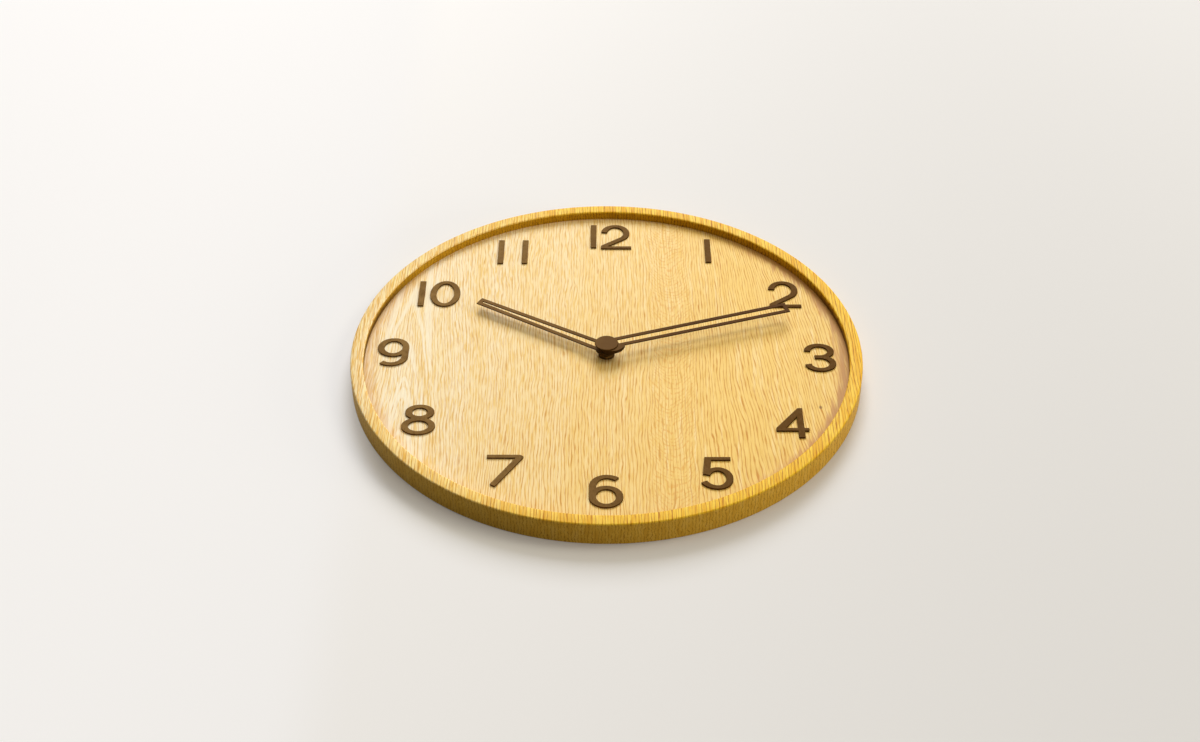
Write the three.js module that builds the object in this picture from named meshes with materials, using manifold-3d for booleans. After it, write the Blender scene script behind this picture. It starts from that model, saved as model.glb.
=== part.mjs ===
// Round oak wall clock with raised digits, two open-frame hands and a two-hand quartz movement.
// Millimetres. The clock lies on its back: +Z leaves the dial, +Y points to twelve o'clock, and z = 0 is the
// back of the movement, which is the face that lies against the wall.
import * as THREE from 'three';
import { mergeVertices } from 'three/addons/utils/BufferGeometryUtils.js';
import Module from 'manifold-3d';

const wasm = await Module();
wasm.setup();

// Rim and dial
const RIM_DIAMETER = 300;
const RIM_DEPTH = 14.3;
const RIM_LIP_WIDTH = 7.6;
const RIM_EDGE = 0.8;
const DIAL_RECESS = 5.3;
const REBATE_LEDGE = 3.1;
const BOARD_CLEARANCE = 0.3;
const VENEER_THICKNESS = 0.6;
const POCKET_DEPTH = 6;
const POCKET_CLEARANCE = 1;

// Digits: where they stand inside the rim, then each digit's own box and turns, with angles in degrees.
// A stroke is widest where it runs upright, slimmer over the top and foot of a bowl, slimmest in a bar.
const DIGIT_HEIGHT = 25.8;
const DIGIT_THICKNESS = 1;
const DIGIT_STROKE = 3.9;
const DIGIT_FLAT = 2.8;
const DIGIT_BAR = 2.4;
const DIGIT_INSET = 20.9;
const PAIR_SPREAD = 14.4;
const ELEVEN_SPREAD = 15.2;
const TWELVE_BEARING = 90;
const HOUR_STEP = 30;
const DIGIT_ONE = { width: 3.7, top: 12.7, foot: -12.3 };
const DIGIT_TWO = { width: 19.3, bowl: 9.1, start: 174, footRise: 2, drop: 0.6 };
const DIGIT_THREE = { width: 18.5, waist: 0.4, tongue: 3, upperBowl: 6.95, start: 179, end: -172 };
const DIGIT_FOUR = {
  left: -9.4,
  right: 9.2,
  stemLeft: 2.8,
  stemRight: 6.5,
  barTop: -4.85,
  peak: 3.75,
  top: 12.4,
  eye: [-3.9, 4.7],
};
const DIGIT_FIVE = {
  width: 16.9,
  reach: 9.2,
  barRight: 7.6,
  stemTop: -4.6,
  stemFoot: [-6.2, -1.2],
  bowl: -4.2,
  tail: 8.2,
  start: 158,
  end: -158,
};
const DIGIT_SIX = { width: 18.6, bowl: 8.55, shoulder: 4.2, crown: 0.2, beak: 8.5, start: 85, end: 48 };
const DIGIT_SEVEN = { width: 20.2, barRight: 7.2, slope: 3.3, high: [8.1, 11], low: [-6, -11.8] };
const DIGIT_EIGHT = { width: 19.2, lowerHeight: 7.3, upperWidth: 8.3, upperHeight: 6.4 };
const DIGIT_NOUGHT = { width: 18.6 };

// Hands
const HAND_THICKNESS = 0.7;
const HAND_BAR = 2.4;
const HAND_WINDOW_START = 0.5;
const HAND_BORE_CLEARANCE = 0.06;
const HOUR_TIP_INSET = 52;
const HOUR_HAND_ROOT_WIDTH = 8.8;
const HOUR_HAND_TIP_WIDTH = 6;
const HOUR_HAND_ANGLE = 148.9;
const HOUR_HAND_LIFT = 4.3;
const HOUR_HUB_RADIUS = 6.6;
const HOUR_COLLAR_RADIUS = 4;
const HOUR_COLLAR_HEIGHT = 1;
const MINUTE_TIP_INSET = 27.5;
const MINUTE_HAND_ROOT_WIDTH = 8.35;
const MINUTE_HAND_TIP_WIDTH = 8.95;
const MINUTE_HAND_ANGLE = 18.4;
const MINUTE_HAND_LIFT = 7.55;
const MINUTE_HUB_RADIUS = 7.9;
const MINUTE_HUB_SHIFT = 3.2;
const MINUTE_HUB_HEIGHT = 1.5;
const CAP_RADIUS = 6.9;
const CAP_THICKNESS = 0.85;
const CAP_PIN_RADIUS = 0.75;
const CAP_PIN_LENGTH = 3;
const CAP_PIN_CLEARANCE = 0.06;

// Movement case, bush and fixings
const CASE_WALL = 1.5;
const CASE_CORNER = 3;
const COVER_THICKNESS = 2;
const COVER_CLEARANCE = 0.3;
const GASKET_THICKNESS = 1;
const GASKET_RADIUS = 13;
const BUSH_RADIUS = 3.4;
const BUSH_FLANGE_RADIUS = 6;
const BUSH_FLANGE = 0.8;
const BUSH_PROUD = 0.3;
const BUSH_HOLE_CLEARANCE = 0.15;
const WASHER_RADIUS = 4.8;
const WASHER_THICKNESS = 0.4;
const NUT_ACROSS_FLATS = 8;
const NUT_HEIGHT = 1.5;
const NUT_SIDES = 6;
const TUBE_CLEARANCE = 0.1;
const HOUR_TUBE_RADIUS = 2.55;
const TUBE_WALL = 0.75;

// Hanger ear on the cover
const EAR_RADIUS = 9.5;
const EAR_REACH = 8;
const KEYHOLE_RADIUS = 4.5;
const KEYHOLE_NECK_RADIUS = 2.2;
const KEYHOLE_RISE = 4.8;
const EAR_RIDGE_HEIGHT = 1.2;
const EAR_RIDGE_WIDTH = 2;

// Battery bay
const BATTERY_DIAMETER = 14.5;
const BATTERY_LENGTH = 50.5;
const BATTERY_NUB_RADIUS = 2.75;
const BATTERY_NUB_LENGTH = 1.5;
const BATTERY_EDGE = 0.6;
const BAY_CLEARANCE = 0.45;
const BAY_WALL = 1;
const CONTACT_ROOM = 1.25;
const CONTACT_THICKNESS = 0.35;
const CONTACT_WIDTH = 8;
const CONTACT_HEIGHT = 9;
const CONTACT_GAP = 0.1;

// Gear train: teeth, modules and the levels that the wheels share
const CENTRE_TEETH = 60;
const THIRD_TEETH = 64;
const LEAVES = 8;
const CANNON_TEETH = 12;
const MOTION_TEETH = 36;
const MOTION_LEAVES = 10;
const HOUR_TEETH = 40;
const SETTING_TEETH = 12;
const CENTRE_MODULE = 0.3;
const THIRD_MODULE = 0.25;
const MOTION_MODULE = 0.35;
const WHEEL_TOOTH = { addendum: 0.8, dedendum: 1, root: 0.56, tip: 0.24 };
const LEAF_TOOTH = { addendum: 0.7, dedendum: 1.1, root: 0.5, tip: 0.2 };
const WHEEL_THICKNESS = 1.2;
const LEAF_OVERHANG = 0.3;
const LEVEL_GAP = 0.6;
const END_SHAKE = 0.4;
const THIRD_BEARING = 50;
const ROTOR_BEARING = 20;
const MOTION_BEARING = 150;
const ARBOR_RADIUS = 0.8;
const ROTOR_ARBOR_RADIUS = 0.65;
const PIVOT_CLEARANCE = 0.1;
const BOSS_WALL = 0.9;
const BOSS_HEIGHT = 1.6;
const WALL_CLEARANCE = 0.6;
const KNOB_RADIUS = 4.8;
const KNOB_HEIGHT = 2.7;
const KNOB_RECESS = 3.4;
const KNOB_SUNK = 0.35;
const KNOB_CLEARANCE = 0.8;
const KNOB_FLUTES = 14;
const KNOB_FLUTE_RADIUS = 0.6;
const KNOB_FLUTE_SIDES = 6;
const RECESS_WALL = 1.2;

// Motor and electronics
const ROTOR_RADIUS = 3;
const ROTOR_HEIGHT = 2;
const ROTOR_GAP = 0.5;
const STATOR_THICKNESS = 0.9;
const STATOR_BOSS_WALL = 2;
const STATOR_BAR = 4;
const STATOR_LEG = 4;
const STATOR_SPAN = 27.5;
const COIL_RADIUS = 3.3;
const COIL_LENGTH = 16;
const COIL_GAP = 1.6;
const CORE_WIDTH = 2.2;
const BOBBIN_RADIUS = 1.7;
const BOBBIN_FLANGE = 0.7;
const BOBBIN_CLEARANCE = 0.12;
const BOARD_LENGTH = 22;
const BOARD_WIDTH = 10;
const BOARD_THICKNESS = 1;
const CHIP_RADIUS = 3;
const CHIP_HEIGHT = 1.3;
const CHIP_SHOULDER_RADIUS = 2.4;
const CHIP_SHOULDER_HEIGHT = 0.9;
const CHIP_TOP_RADIUS = 1.2;
const CRYSTAL_RADIUS = 1;
const CRYSTAL_LENGTH = 6;
const CRYSTAL_GAP = 0.15;

// Facets
const RIM_SEGMENTS = 72;
const ROUND_SEGMENTS = 24;
const SMALL_SEGMENTS = 12;
const CORNER_STEPS = 5;
const ARC_STEP_DEGREES = 10;

// How far a cut runs past the face that it opens
const CUT_PAST = 1;

// Levels along Z that follow from the sizes above
const movementFront = BATTERY_DIAMETER + BAY_CLEARANCE + CASE_WALL;
const frontInside = movementFront - CASE_WALL;
const pocketTop = movementFront + GASKET_THICKNESS;
const boardBack = pocketTop - POCKET_DEPTH;
const rimTop = boardBack + RIM_DEPTH;
const dialFront = rimTop - DIAL_RECESS;
const boardFront = dialFront - VENEER_THICKNESS;
const nutBottom = dialFront + WASHER_THICKNESS;
const nutTop = nutBottom + NUT_HEIGHT;
const bushTop = nutTop + BUSH_PROUD;
const hourHandBottom = dialFront + HOUR_HAND_LIFT;
const hourHandTop = hourHandBottom + HAND_THICKNESS;
const minuteHandBottom = dialFront + MINUTE_HAND_LIFT;
const minuteHandTop = minuteHandBottom + HAND_THICKNESS;

// Wheel levels, counted down from the inside of the front wall
const hourWheelTop = frontInside - BUSH_FLANGE - END_SHAKE;
const hourWheelBottom = hourWheelTop - WHEEL_THICKNESS;
const cannonTop = hourWheelBottom - LEVEL_GAP;
const motionWheelTop = cannonTop - LEAF_OVERHANG;
const motionWheelBottom = motionWheelTop - WHEEL_THICKNESS;
const cannonBottom = motionWheelBottom - LEAF_OVERHANG;
const centreWheelTop = cannonBottom - LEVEL_GAP;
const centreWheelBottom = centreWheelTop - WHEEL_THICKNESS;
const thirdLeavesBottom = centreWheelBottom - LEAF_OVERHANG;
const thirdWheelTop = thirdLeavesBottom;
const thirdWheelBottom = thirdWheelTop - WHEEL_THICKNESS;
const rotorLeavesBottom = thirdWheelBottom - LEAF_OVERHANG;
const rotorTop = rotorLeavesBottom - LEVEL_GAP / 2;
const rotorBottom = rotorTop - ROTOR_HEIGHT;
const statorBottom = (rotorTop + rotorBottom - STATOR_THICKNESS) / 2;
const statorTop = statorBottom + STATOR_THICKNESS;
const coverBossTop = COVER_THICKNESS + BOSS_HEIGHT;

// Radii that follow from teeth and module
const pitchRadius = (teeth, module) => teeth * module / 2;
const tipRadius = (teeth, module) => pitchRadius(teeth, module) + WHEEL_TOOTH.addendum * module;
const motionDistance = pitchRadius(CANNON_TEETH + MOTION_TEETH, MOTION_MODULE);
const hourModule = 2 * motionDistance / (MOTION_LEAVES + HOUR_TEETH);
const centreTip = tipRadius(CENTRE_TEETH, CENTRE_MODULE);
const thirdTip = tipRadius(THIRD_TEETH, THIRD_MODULE);

// Places of the arbors in plan
const spot = (x, y) => new THREE.Vector2(x, y);
const radians = degrees => degrees * Math.PI / 180;
const centreAxis = spot(0, 0);
const polar = (radius, degrees, from = centreAxis) => spot(
  from.x + radius * Math.cos(radians(degrees)),
  from.y + radius * Math.sin(radians(degrees)),
);
const thirdAxis = polar(pitchRadius(CENTRE_TEETH + LEAVES, CENTRE_MODULE), THIRD_BEARING);
const rotorAxis = polar(pitchRadius(THIRD_TEETH + LEAVES, THIRD_MODULE), ROTOR_BEARING, thirdAxis);
const motionAxis = polar(motionDistance, MOTION_BEARING);
const settingDistance = pitchRadius(MOTION_TEETH + SETTING_TEETH, MOTION_MODULE);
const settingAxis = polar(settingDistance, MOTION_BEARING, motionAxis);
const coilAxis = spot(rotorAxis.x - STATOR_LEG, thirdAxis.y + thirdTip + COIL_GAP + COIL_RADIUS);

// Outline of the movement in plan: battery bay below, gear train above
const insideX = BATTERY_LENGTH / 2 + CONTACT_ROOM;
const caseX = insideX + CASE_WALL;
const trainBottom = -(centreTip + WALL_CLEARANCE);
const trainTop = coilAxis.y + COIL_RADIUS + WALL_CLEARANCE + STATOR_LEG / 2;
const bayTop = trainBottom - BAY_WALL;
const bayBottom = bayTop - BATTERY_DIAMETER - 2 * BAY_CLEARANCE;
const caseBottom = bayBottom - CASE_WALL;
const caseTop = trainTop + CASE_WALL;
const batteryY = (bayTop + bayBottom) / 2;

// Rim and board radii
const rimRadius = RIM_DIAMETER / 2;
const lipRadius = rimRadius - RIM_LIP_WIDTH;
const rebateRadius = lipRadius + REBATE_LEDGE;
const boardRadius = rebateRadius - BOARD_CLEARANCE;
const digitRing = lipRadius - DIGIT_INSET;
const hourHandLength = lipRadius - HOUR_TIP_INSET;
const minuteHandLength = lipRadius - MINUTE_TIP_INSET;

// Coaxial tubes
const hourTubeBore = HOUR_TUBE_RADIUS - TUBE_WALL;
const minuteTubeRadius = hourTubeBore - TUBE_CLEARANCE;
const minuteTubeBore = CAP_PIN_RADIUS + CAP_PIN_CLEARANCE;
const bushBore = HOUR_TUBE_RADIUS + TUBE_CLEARANCE;

// Solids: a closed three.js geometry becomes a solid that can be joined and cut
function solid(geometry) {
  const bare = geometry.index ? geometry.toNonIndexed() : geometry.clone();
  bare.deleteAttribute('normal');
  bare.deleteAttribute('uv');
  const merged = mergeVertices(bare, 1e-5);
  return new wasm.Manifold(new wasm.Mesh({
    numProp: 3,
    vertProperties: new Float32Array(merged.attributes.position.array),
    triVerts: new Uint32Array(merged.index.array),
  }));
}

function join(...solids) {
  return solids.reduce((whole, piece) => whole.add(piece));
}

function cut(whole, ...tools) {
  return tools.reduce((rest, tool) => rest.subtract(tool), whole);
}

function geometryOf(body) {
  const mesh = body.getMesh();
  const geometry = new THREE.BufferGeometry();
  const corners = new Float32Array(mesh.vertProperties);
  geometry.setAttribute('position', new THREE.BufferAttribute(corners, 3));
  geometry.setIndex(new THREE.BufferAttribute(new Uint32Array(mesh.triVerts), 1));
  geometry.computeVertexNormals();
  return geometry;
}

// A flat outline raised from one level to another
function slab(shape, low, high) {
  const geometry = new THREE.ExtrudeGeometry(shape, {
    depth: high - low,
    bevelEnabled: false,
    curveSegments: CORNER_STEPS,
  });
  geometry.translate(0, 0, low);
  return solid(geometry);
}

function post(axis, radius, low, high, segments = SMALL_SEGMENTS) {
  const geometry = new THREE.CylinderGeometry(radius, radius, high - low, segments);
  geometry.rotateX(Math.PI / 2);
  geometry.translate(axis.x, axis.y, (low + high) / 2);
  return solid(geometry);
}

function block(x0, x1, y0, y1, z0, z1) {
  const geometry = new THREE.BoxGeometry(x1 - x0, y1 - y0, z1 - z0);
  geometry.translate((x0 + x1) / 2, (y0 + y1) / 2, (z0 + z1) / 2);
  return solid(geometry);
}

// A profile of [radius, z] points turned about the Z axis
function turned(profile, segments) {
  const points = profile.map(([radius, z]) => new THREE.Vector2(radius, z));
  const geometry = new THREE.LatheGeometry(points, segments);
  geometry.rotateX(Math.PI / 2);
  return solid(geometry);
}

function roundedRectangle(x0, x1, y0, y1, radius) {
  const shape = new THREE.Shape();
  shape.moveTo(x0 + radius, y0);
  shape.absarc(x1 - radius, y0 + radius, radius, -Math.PI / 2, 0);
  shape.absarc(x1 - radius, y1 - radius, radius, 0, Math.PI / 2);
  shape.absarc(x0 + radius, y1 - radius, radius, Math.PI / 2, Math.PI);
  shape.absarc(x0 + radius, y0 + radius, radius, Math.PI, 1.5 * Math.PI);
  return shape;
}

const polygon = corners => new THREE.Shape(corners.map(([x, y]) => spot(x, y)));

// A band along a line of points, with square ends: width holds where it runs upright, height where level
function band(line, width, height = width) {
  const reach = spot(width / 2, height / 2);
  const left = [];
  const right = [];
  line.forEach((point, index) => {
    const before = line[Math.max(index - 1, 0)];
    const after = line[Math.min(index + 1, line.length - 1)];
    const side = after.clone().sub(before).normalize().rotateAround(centreAxis, Math.PI / 2).multiply(reach);
    left.push(point.clone().add(side));
    right.push(point.clone().sub(side));
  });
  return new THREE.Shape([...right, ...left.reverse()]);
}

function arc(centre, radiusX, radiusY, fromDegrees, toDegrees) {
  const points = [];
  const steps = Math.ceil(Math.abs(toDegrees - fromDegrees) / ARC_STEP_DEGREES);
  for (let step = 0; step <= steps; step += 1) {
    const angle = radians(THREE.MathUtils.lerp(fromDegrees, toDegrees, step / steps));
    points.push(spot(centre.x + radiusX * Math.cos(angle), centre.y + radiusY * Math.sin(angle)));
  }
  return points;
}

// Gears: straight-sided teeth with room to run, outline centred on a tooth at the given phase
function gearShape(teeth, module, tooth, phase) {
  const pitch = 2 * Math.PI / teeth;
  const root = pitchRadius(teeth, module) - tooth.dedendum * module;
  const tip = pitchRadius(teeth, module) + tooth.addendum * module;
  const corners = [];
  for (let index = 0; index < teeth; index += 1) {
    const middle = phase + index * pitch;
    const flanks = [[root, -tooth.root], [tip, -tooth.tip], [tip, tooth.tip], [root, tooth.root]];
    for (const [radius, share] of flanks) {
      const angle = middle + share * pitch / 2;
      corners.push([radius * Math.cos(angle), radius * Math.sin(angle)]);
    }
  }
  return polygon(corners);
}

function gear(axis, outline, low, high) {
  return slab(outline, low, high).translate([axis.x, axis.y, 0]);
}

// Phase that puts a gap of the driven gear opposite a tooth of the driver
function meshPhase(driverAxis, driverTeeth, driverPhase, drivenAxis, drivenTeeth) {
  const bearing = drivenAxis.clone().sub(driverAxis).angle();
  const teethPast = (bearing - driverPhase) * driverTeeth / (2 * Math.PI);
  return bearing + Math.PI + (2 * teethPast - 1) * Math.PI / drivenTeeth;
}

const centrePhase = 0;
const thirdPhase = meshPhase(centreAxis, CENTRE_TEETH, centrePhase, thirdAxis, LEAVES);
const rotorPhase = meshPhase(thirdAxis, THIRD_TEETH, thirdPhase, rotorAxis, LEAVES);
const motionPhase = meshPhase(centreAxis, CANNON_TEETH, centrePhase, motionAxis, MOTION_TEETH);
const hourPhase = meshPhase(motionAxis, MOTION_LEAVES, motionPhase, centreAxis, HOUR_TEETH);
const settingPhase = meshPhase(motionAxis, MOTION_TEETH, motionPhase, settingAxis, SETTING_TEETH);

// Rim: a turned ring with eased edges and a rebate behind for the dial board
function rim() {
  return turned([
    [rebateRadius, boardBack],
    [rimRadius - RIM_EDGE, boardBack],
    [rimRadius, boardBack + RIM_EDGE],
    [rimRadius, rimTop - RIM_EDGE],
    [rimRadius - RIM_EDGE, rimTop],
    [lipRadius + RIM_EDGE, rimTop],
    [lipRadius, rimTop - RIM_EDGE],
    [lipRadius, dialFront],
    [rebateRadius, dialFront],
    [rebateRadius, boardBack],
  ], RIM_SEGMENTS);
}

const shaftHole = () => post(centreAxis, BUSH_RADIUS + BUSH_HOLE_CLEARANCE, 0, rimTop, ROUND_SEGMENTS);

// Dial board: fibreboard with a pocket that takes the front of the movement
function dialBoard() {
  const disc = post(centreAxis, boardRadius, boardBack, boardFront, RIM_SEGMENTS);
  const pocket = slab(roundedRectangle(
    -caseX - POCKET_CLEARANCE,
    caseX + POCKET_CLEARANCE,
    caseBottom - POCKET_CLEARANCE,
    caseTop + POCKET_CLEARANCE,
    CASE_CORNER,
  ), boardBack - CUT_PAST, pocketTop);
  return cut(disc, pocket, shaftHole());
}

function dialVeneer() {
  return cut(post(centreAxis, boardRadius, boardFront, dialFront, RIM_SEGMENTS), shaftHole());
}

// Digits: strokes, bars and rings, joined and trimmed to the digit's own box
const digitTop = DIGIT_HEIGHT / 2;
const halfStroke = DIGIT_STROKE / 2;
const halfFlat = DIGIT_FLAT / 2;
const raised = shape => slab(shape, dialFront, dialFront + DIGIT_THICKNESS);
const stroke = line => raised(band(line, DIGIT_STROKE, DIGIT_FLAT));
const bar = (x0, x1, y0, y1) => block(x0, x1, y0, y1, dialFront, dialFront + DIGIT_THICKNESS);

function trimmed(width, foot, ...strokes) {
  return join(...strokes).intersect(bar(-width / 2, width / 2, foot, digitTop));
}

function ring(centre, outerX, outerY) {
  const shape = new THREE.Shape(arc(centre, outerX, outerY, 0, 360).slice(1));
  const inside = arc(centre, outerX - DIGIT_STROKE, outerY - DIGIT_FLAT, 0, 360).slice(1);
  shape.holes.push(new THREE.Path(inside));
  return raised(shape);
}

function digitOne() {
  return bar(-DIGIT_ONE.width / 2, DIGIT_ONE.width / 2, DIGIT_ONE.foot, DIGIT_ONE.top);
}

function digitTwo() {
  const { width, bowl, start, footRise, drop } = DIGIT_TWO;
  const radii = spot(bowl - halfStroke, bowl - halfFlat);
  const centre = spot(bowl - width / 2, digitTop - bowl);
  const heel = spot(halfStroke - width / 2, footRise - digitTop);
  const reach = heel.clone().sub(centre).divide(radii);
  const leave = THREE.MathUtils.radToDeg(reach.angle() + Math.acos(1 / reach.length())) - 360;
  const sweep = arc(centre, radii.x, radii.y, start, leave);
  const past = heel.clone().addScaledVector(heel.clone().sub(sweep.at(-1)).normalize(), DIGIT_STROKE);
  const foot = -digitTop - drop;
  return trimmed(
    width,
    foot,
    stroke([...sweep, past]),
    bar(-width / 2, width / 2, foot, foot + DIGIT_BAR),
  );
}

function digitThree() {
  const { width, waist, tongue, upperBowl, start, end } = DIGIT_THREE;
  const upperHeight = (digitTop - halfFlat - waist) / 2;
  const lowerHeight = (digitTop - halfFlat + waist) / 2;
  const lowerBowl = width / 2 - halfStroke;
  return trimmed(
    width,
    -digitTop,
    stroke(arc(spot(0, waist + upperHeight), upperBowl, upperHeight, start, -90)),
    stroke(arc(spot(0, waist - lowerHeight), lowerBowl, lowerHeight, 90, end)),
    bar(-tongue, halfStroke, waist - halfFlat, waist + halfFlat),
  );
}

function digitFour() {
  const { left, right, stemLeft, stemRight, barTop, peak, top, eye } = DIGIT_FOUR;
  const barFoot = barTop - DIGIT_BAR;
  const shape = polygon([
    [stemLeft, -digitTop],
    [stemRight, -digitTop],
    [stemRight, barFoot],
    [right, barFoot],
    [right, barTop],
    [stemRight, barTop],
    [stemRight, top],
    [peak, top],
    [left, barTop],
    [left, barFoot],
    [stemLeft, barFoot],
  ]);
  const window = polygon([[eye[0], barTop], [stemLeft, barTop], [stemLeft, eye[1]]]);
  return cut(raised(shape), slab(window, dialFront - CUT_PAST, dialFront + DIGIT_THICKNESS + CUT_PAST));
}

function digitFive() {
  const { width, reach, barRight, bowl, tail, start, end } = DIGIT_FIVE;
  const stemTop = spot(DIGIT_FIVE.stemTop, digitTop + halfStroke);
  const stemFoot = spot(...DIGIT_FIVE.stemFoot);
  const bowlHeight = digitTop + bowl - halfFlat;
  return trimmed(
    2 * reach,
    -digitTop,
    bar(stemTop.x - halfStroke, barRight, digitTop - DIGIT_BAR, digitTop),
    stroke([stemTop, stemFoot]),
    stroke([
      ...arc(spot(0, bowl), width / 2 - halfStroke, bowlHeight, start, -90),
      ...arc(spot(0, bowl), tail, bowlHeight, -90 - ARC_STEP_DEGREES, end),
    ]),
  );
}

function digitSix() {
  const { width, bowl, shoulder, crown, beak, start, end } = DIGIT_SIX;
  const spine = halfStroke - width / 2;
  const shoulderHeight = digitTop - halfFlat - shoulder;
  return trimmed(
    width,
    -digitTop,
    ring(spot(0, bowl - digitTop), width / 2, bowl),
    stroke([
      spot(spine, bowl - digitTop),
      ...arc(spot(crown, shoulder), crown - spine, shoulderHeight, 180, 90),
      ...arc(spot(crown, shoulder), beak, shoulderHeight, start, end),
    ]),
  );
}

function digitSeven() {
  const { width, barRight, slope } = DIGIT_SEVEN;
  const high = spot(...DIGIT_SEVEN.high);
  const low = spot(...DIGIT_SEVEN.low);
  const rise = high.clone().sub(low).normalize();
  return trimmed(
    width,
    -digitTop,
    bar(-width / 2, barRight, digitTop - DIGIT_BAR, digitTop),
    raised(band([low, high.addScaledVector(rise, slope / 2)], slope)),
  );
}

function digitEight() {
  const { width, lowerHeight, upperWidth, upperHeight } = DIGIT_EIGHT;
  return trimmed(
    width,
    -digitTop,
    ring(spot(0, digitTop - upperHeight), upperWidth, upperHeight),
    ring(spot(0, lowerHeight - digitTop), width / 2, lowerHeight),
  );
}

function digitNine() {
  return digitSix().rotate([0, 0, 180]);
}

function digitNought() {
  return ring(centreAxis, DIGIT_NOUGHT.width / 2, digitTop);
}

// Hours: each with its digits, their places along the pair, and the small shift that a hand-set digit has
const HOURS = [
  { hour: 1, shift: [3.4, 0.2], digits: [['numeral_1', digitOne, 0]] },
  { hour: 2, shift: [4, -1.1], digits: [['numeral_2', digitTwo, 0]] },
  { hour: 3, shift: [4, -3.2], digits: [['numeral_3', digitThree, 0]] },
  { hour: 4, shift: [-0.5, -1.4], digits: [['numeral_4', digitFour, 0]] },
  { hour: 5, shift: [-0.1, 0.7], digits: [['numeral_5', digitFive, 0]] },
  { hour: 6, shift: [-0.1, 2.3], digits: [['numeral_6', digitSix, 0]] },
  { hour: 7, shift: [5, 2.3], digits: [['numeral_7', digitSeven, 0]] },
  { hour: 8, shift: [-0.6, 0.8], digits: [['numeral_8', digitEight, 0]] },
  { hour: 9, shift: [-4.6, 1.6], digits: [['numeral_9', digitNine, 0]] },
  {
    hour: 10,
    shift: [-1.2, -1.3],
    digits: [
      ['numeral_10_one', digitOne, -PAIR_SPREAD / 2],
      ['numeral_10_zero', digitNought, PAIR_SPREAD / 2],
    ],
  },
  {
    hour: 11,
    shift: [1.4, -1.2],
    digits: [
      ['numeral_11_left', digitOne, -ELEVEN_SPREAD / 2],
      ['numeral_11_right', digitOne, ELEVEN_SPREAD / 2],
    ],
  },
  {
    hour: 12,
    shift: [-1.2, -0.3],
    digits: [
      ['numeral_12_one', digitOne, -PAIR_SPREAD / 2],
      ['numeral_12_two', digitTwo, PAIR_SPREAD / 2],
    ],
  },
];

// Hands: an open frame of two bars, a round hub and a collar that grips its tube
function handFrame(length, rootWidth, tipWidth, low) {
  const root = rootWidth / 2;
  const tip = tipWidth / 2;
  const shape = polygon([[0, -root], [length, -tip], [length, tip], [0, root]]);
  shape.holes.push(new THREE.Path([
    spot(HAND_WINDOW_START, -root + HAND_BAR),
    spot(length - HAND_BAR, -tip + HAND_BAR),
    spot(length - HAND_BAR, tip - HAND_BAR),
    spot(HAND_WINDOW_START, root - HAND_BAR),
  ]));
  return slab(shape, low, low + HAND_THICKNESS);
}

function handBore(tubeRadius, low, high) {
  return post(centreAxis, tubeRadius + HAND_BORE_CLEARANCE, low - CUT_PAST, high + CUT_PAST, ROUND_SEGMENTS);
}

function hourHand() {
  const frame = handFrame(
    hourHandLength,
    HOUR_HAND_ROOT_WIDTH,
    HOUR_HAND_TIP_WIDTH,
    hourHandBottom,
  );
  const hub = post(centreAxis, HOUR_HUB_RADIUS, hourHandBottom, hourHandTop, ROUND_SEGMENTS);
  const collarBottom = hourHandBottom - HOUR_COLLAR_HEIGHT;
  const collar = post(centreAxis, HOUR_COLLAR_RADIUS, collarBottom, hourHandTop, ROUND_SEGMENTS);
  const bore = handBore(HOUR_TUBE_RADIUS, collarBottom, hourHandTop);
  return cut(join(frame, hub, collar), bore).rotate([0, 0, HOUR_HAND_ANGLE]);
}

function minuteHand() {
  const frame = handFrame(
    minuteHandLength,
    MINUTE_HAND_ROOT_WIDTH,
    MINUTE_HAND_TIP_WIDTH,
    minuteHandBottom,
  );
  const hubBottom = minuteHandBottom - MINUTE_HUB_HEIGHT;
  const hub = post(spot(MINUTE_HUB_SHIFT, 0), MINUTE_HUB_RADIUS, hubBottom, minuteHandTop, ROUND_SEGMENTS);
  const bore = handBore(minuteTubeRadius, hubBottom, minuteHandTop);
  return cut(join(frame, hub), bore).rotate([0, 0, MINUTE_HAND_ANGLE]);
}

function hubCap() {
  const capTop = minuteHandTop + CAP_THICKNESS;
  const edge = CAP_THICKNESS / 3;
  return turned([
    [0, minuteHandTop - CAP_PIN_LENGTH],
    [CAP_PIN_RADIUS, minuteHandTop - CAP_PIN_LENGTH],
    [CAP_PIN_RADIUS, minuteHandTop],
    [CAP_RADIUS, minuteHandTop],
    [CAP_RADIUS, capTop - edge],
    [CAP_RADIUS - edge, capTop],
    [0, capTop],
  ], ROUND_SEGMENTS);
}

// Fixings that clamp the movement to the dial
function fixingNut() {
  const corner = NUT_ACROSS_FLATS / Math.sqrt(3);
  return cut(post(centreAxis, corner, nutBottom, nutTop, NUT_SIDES), shaftHole());
}

function fixingWasher() {
  return cut(post(centreAxis, WASHER_RADIUS, dialFront, nutBottom, ROUND_SEGMENTS), shaftHole());
}

function movementGasket() {
  return cut(post(centreAxis, GASKET_RADIUS, movementFront, pocketTop, ROUND_SEGMENTS), shaftHole());
}

function movementBush() {
  const flangeBottom = frontInside - BUSH_FLANGE;
  return turned([
    [bushBore, flangeBottom],
    [BUSH_FLANGE_RADIUS, flangeBottom],
    [BUSH_FLANGE_RADIUS, frontInside],
    [BUSH_RADIUS, frontInside],
    [BUSH_RADIUS, bushTop],
    [bushBore, bushTop],
    [bushBore, flangeBottom],
  ], ROUND_SEGMENTS);
}

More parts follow.
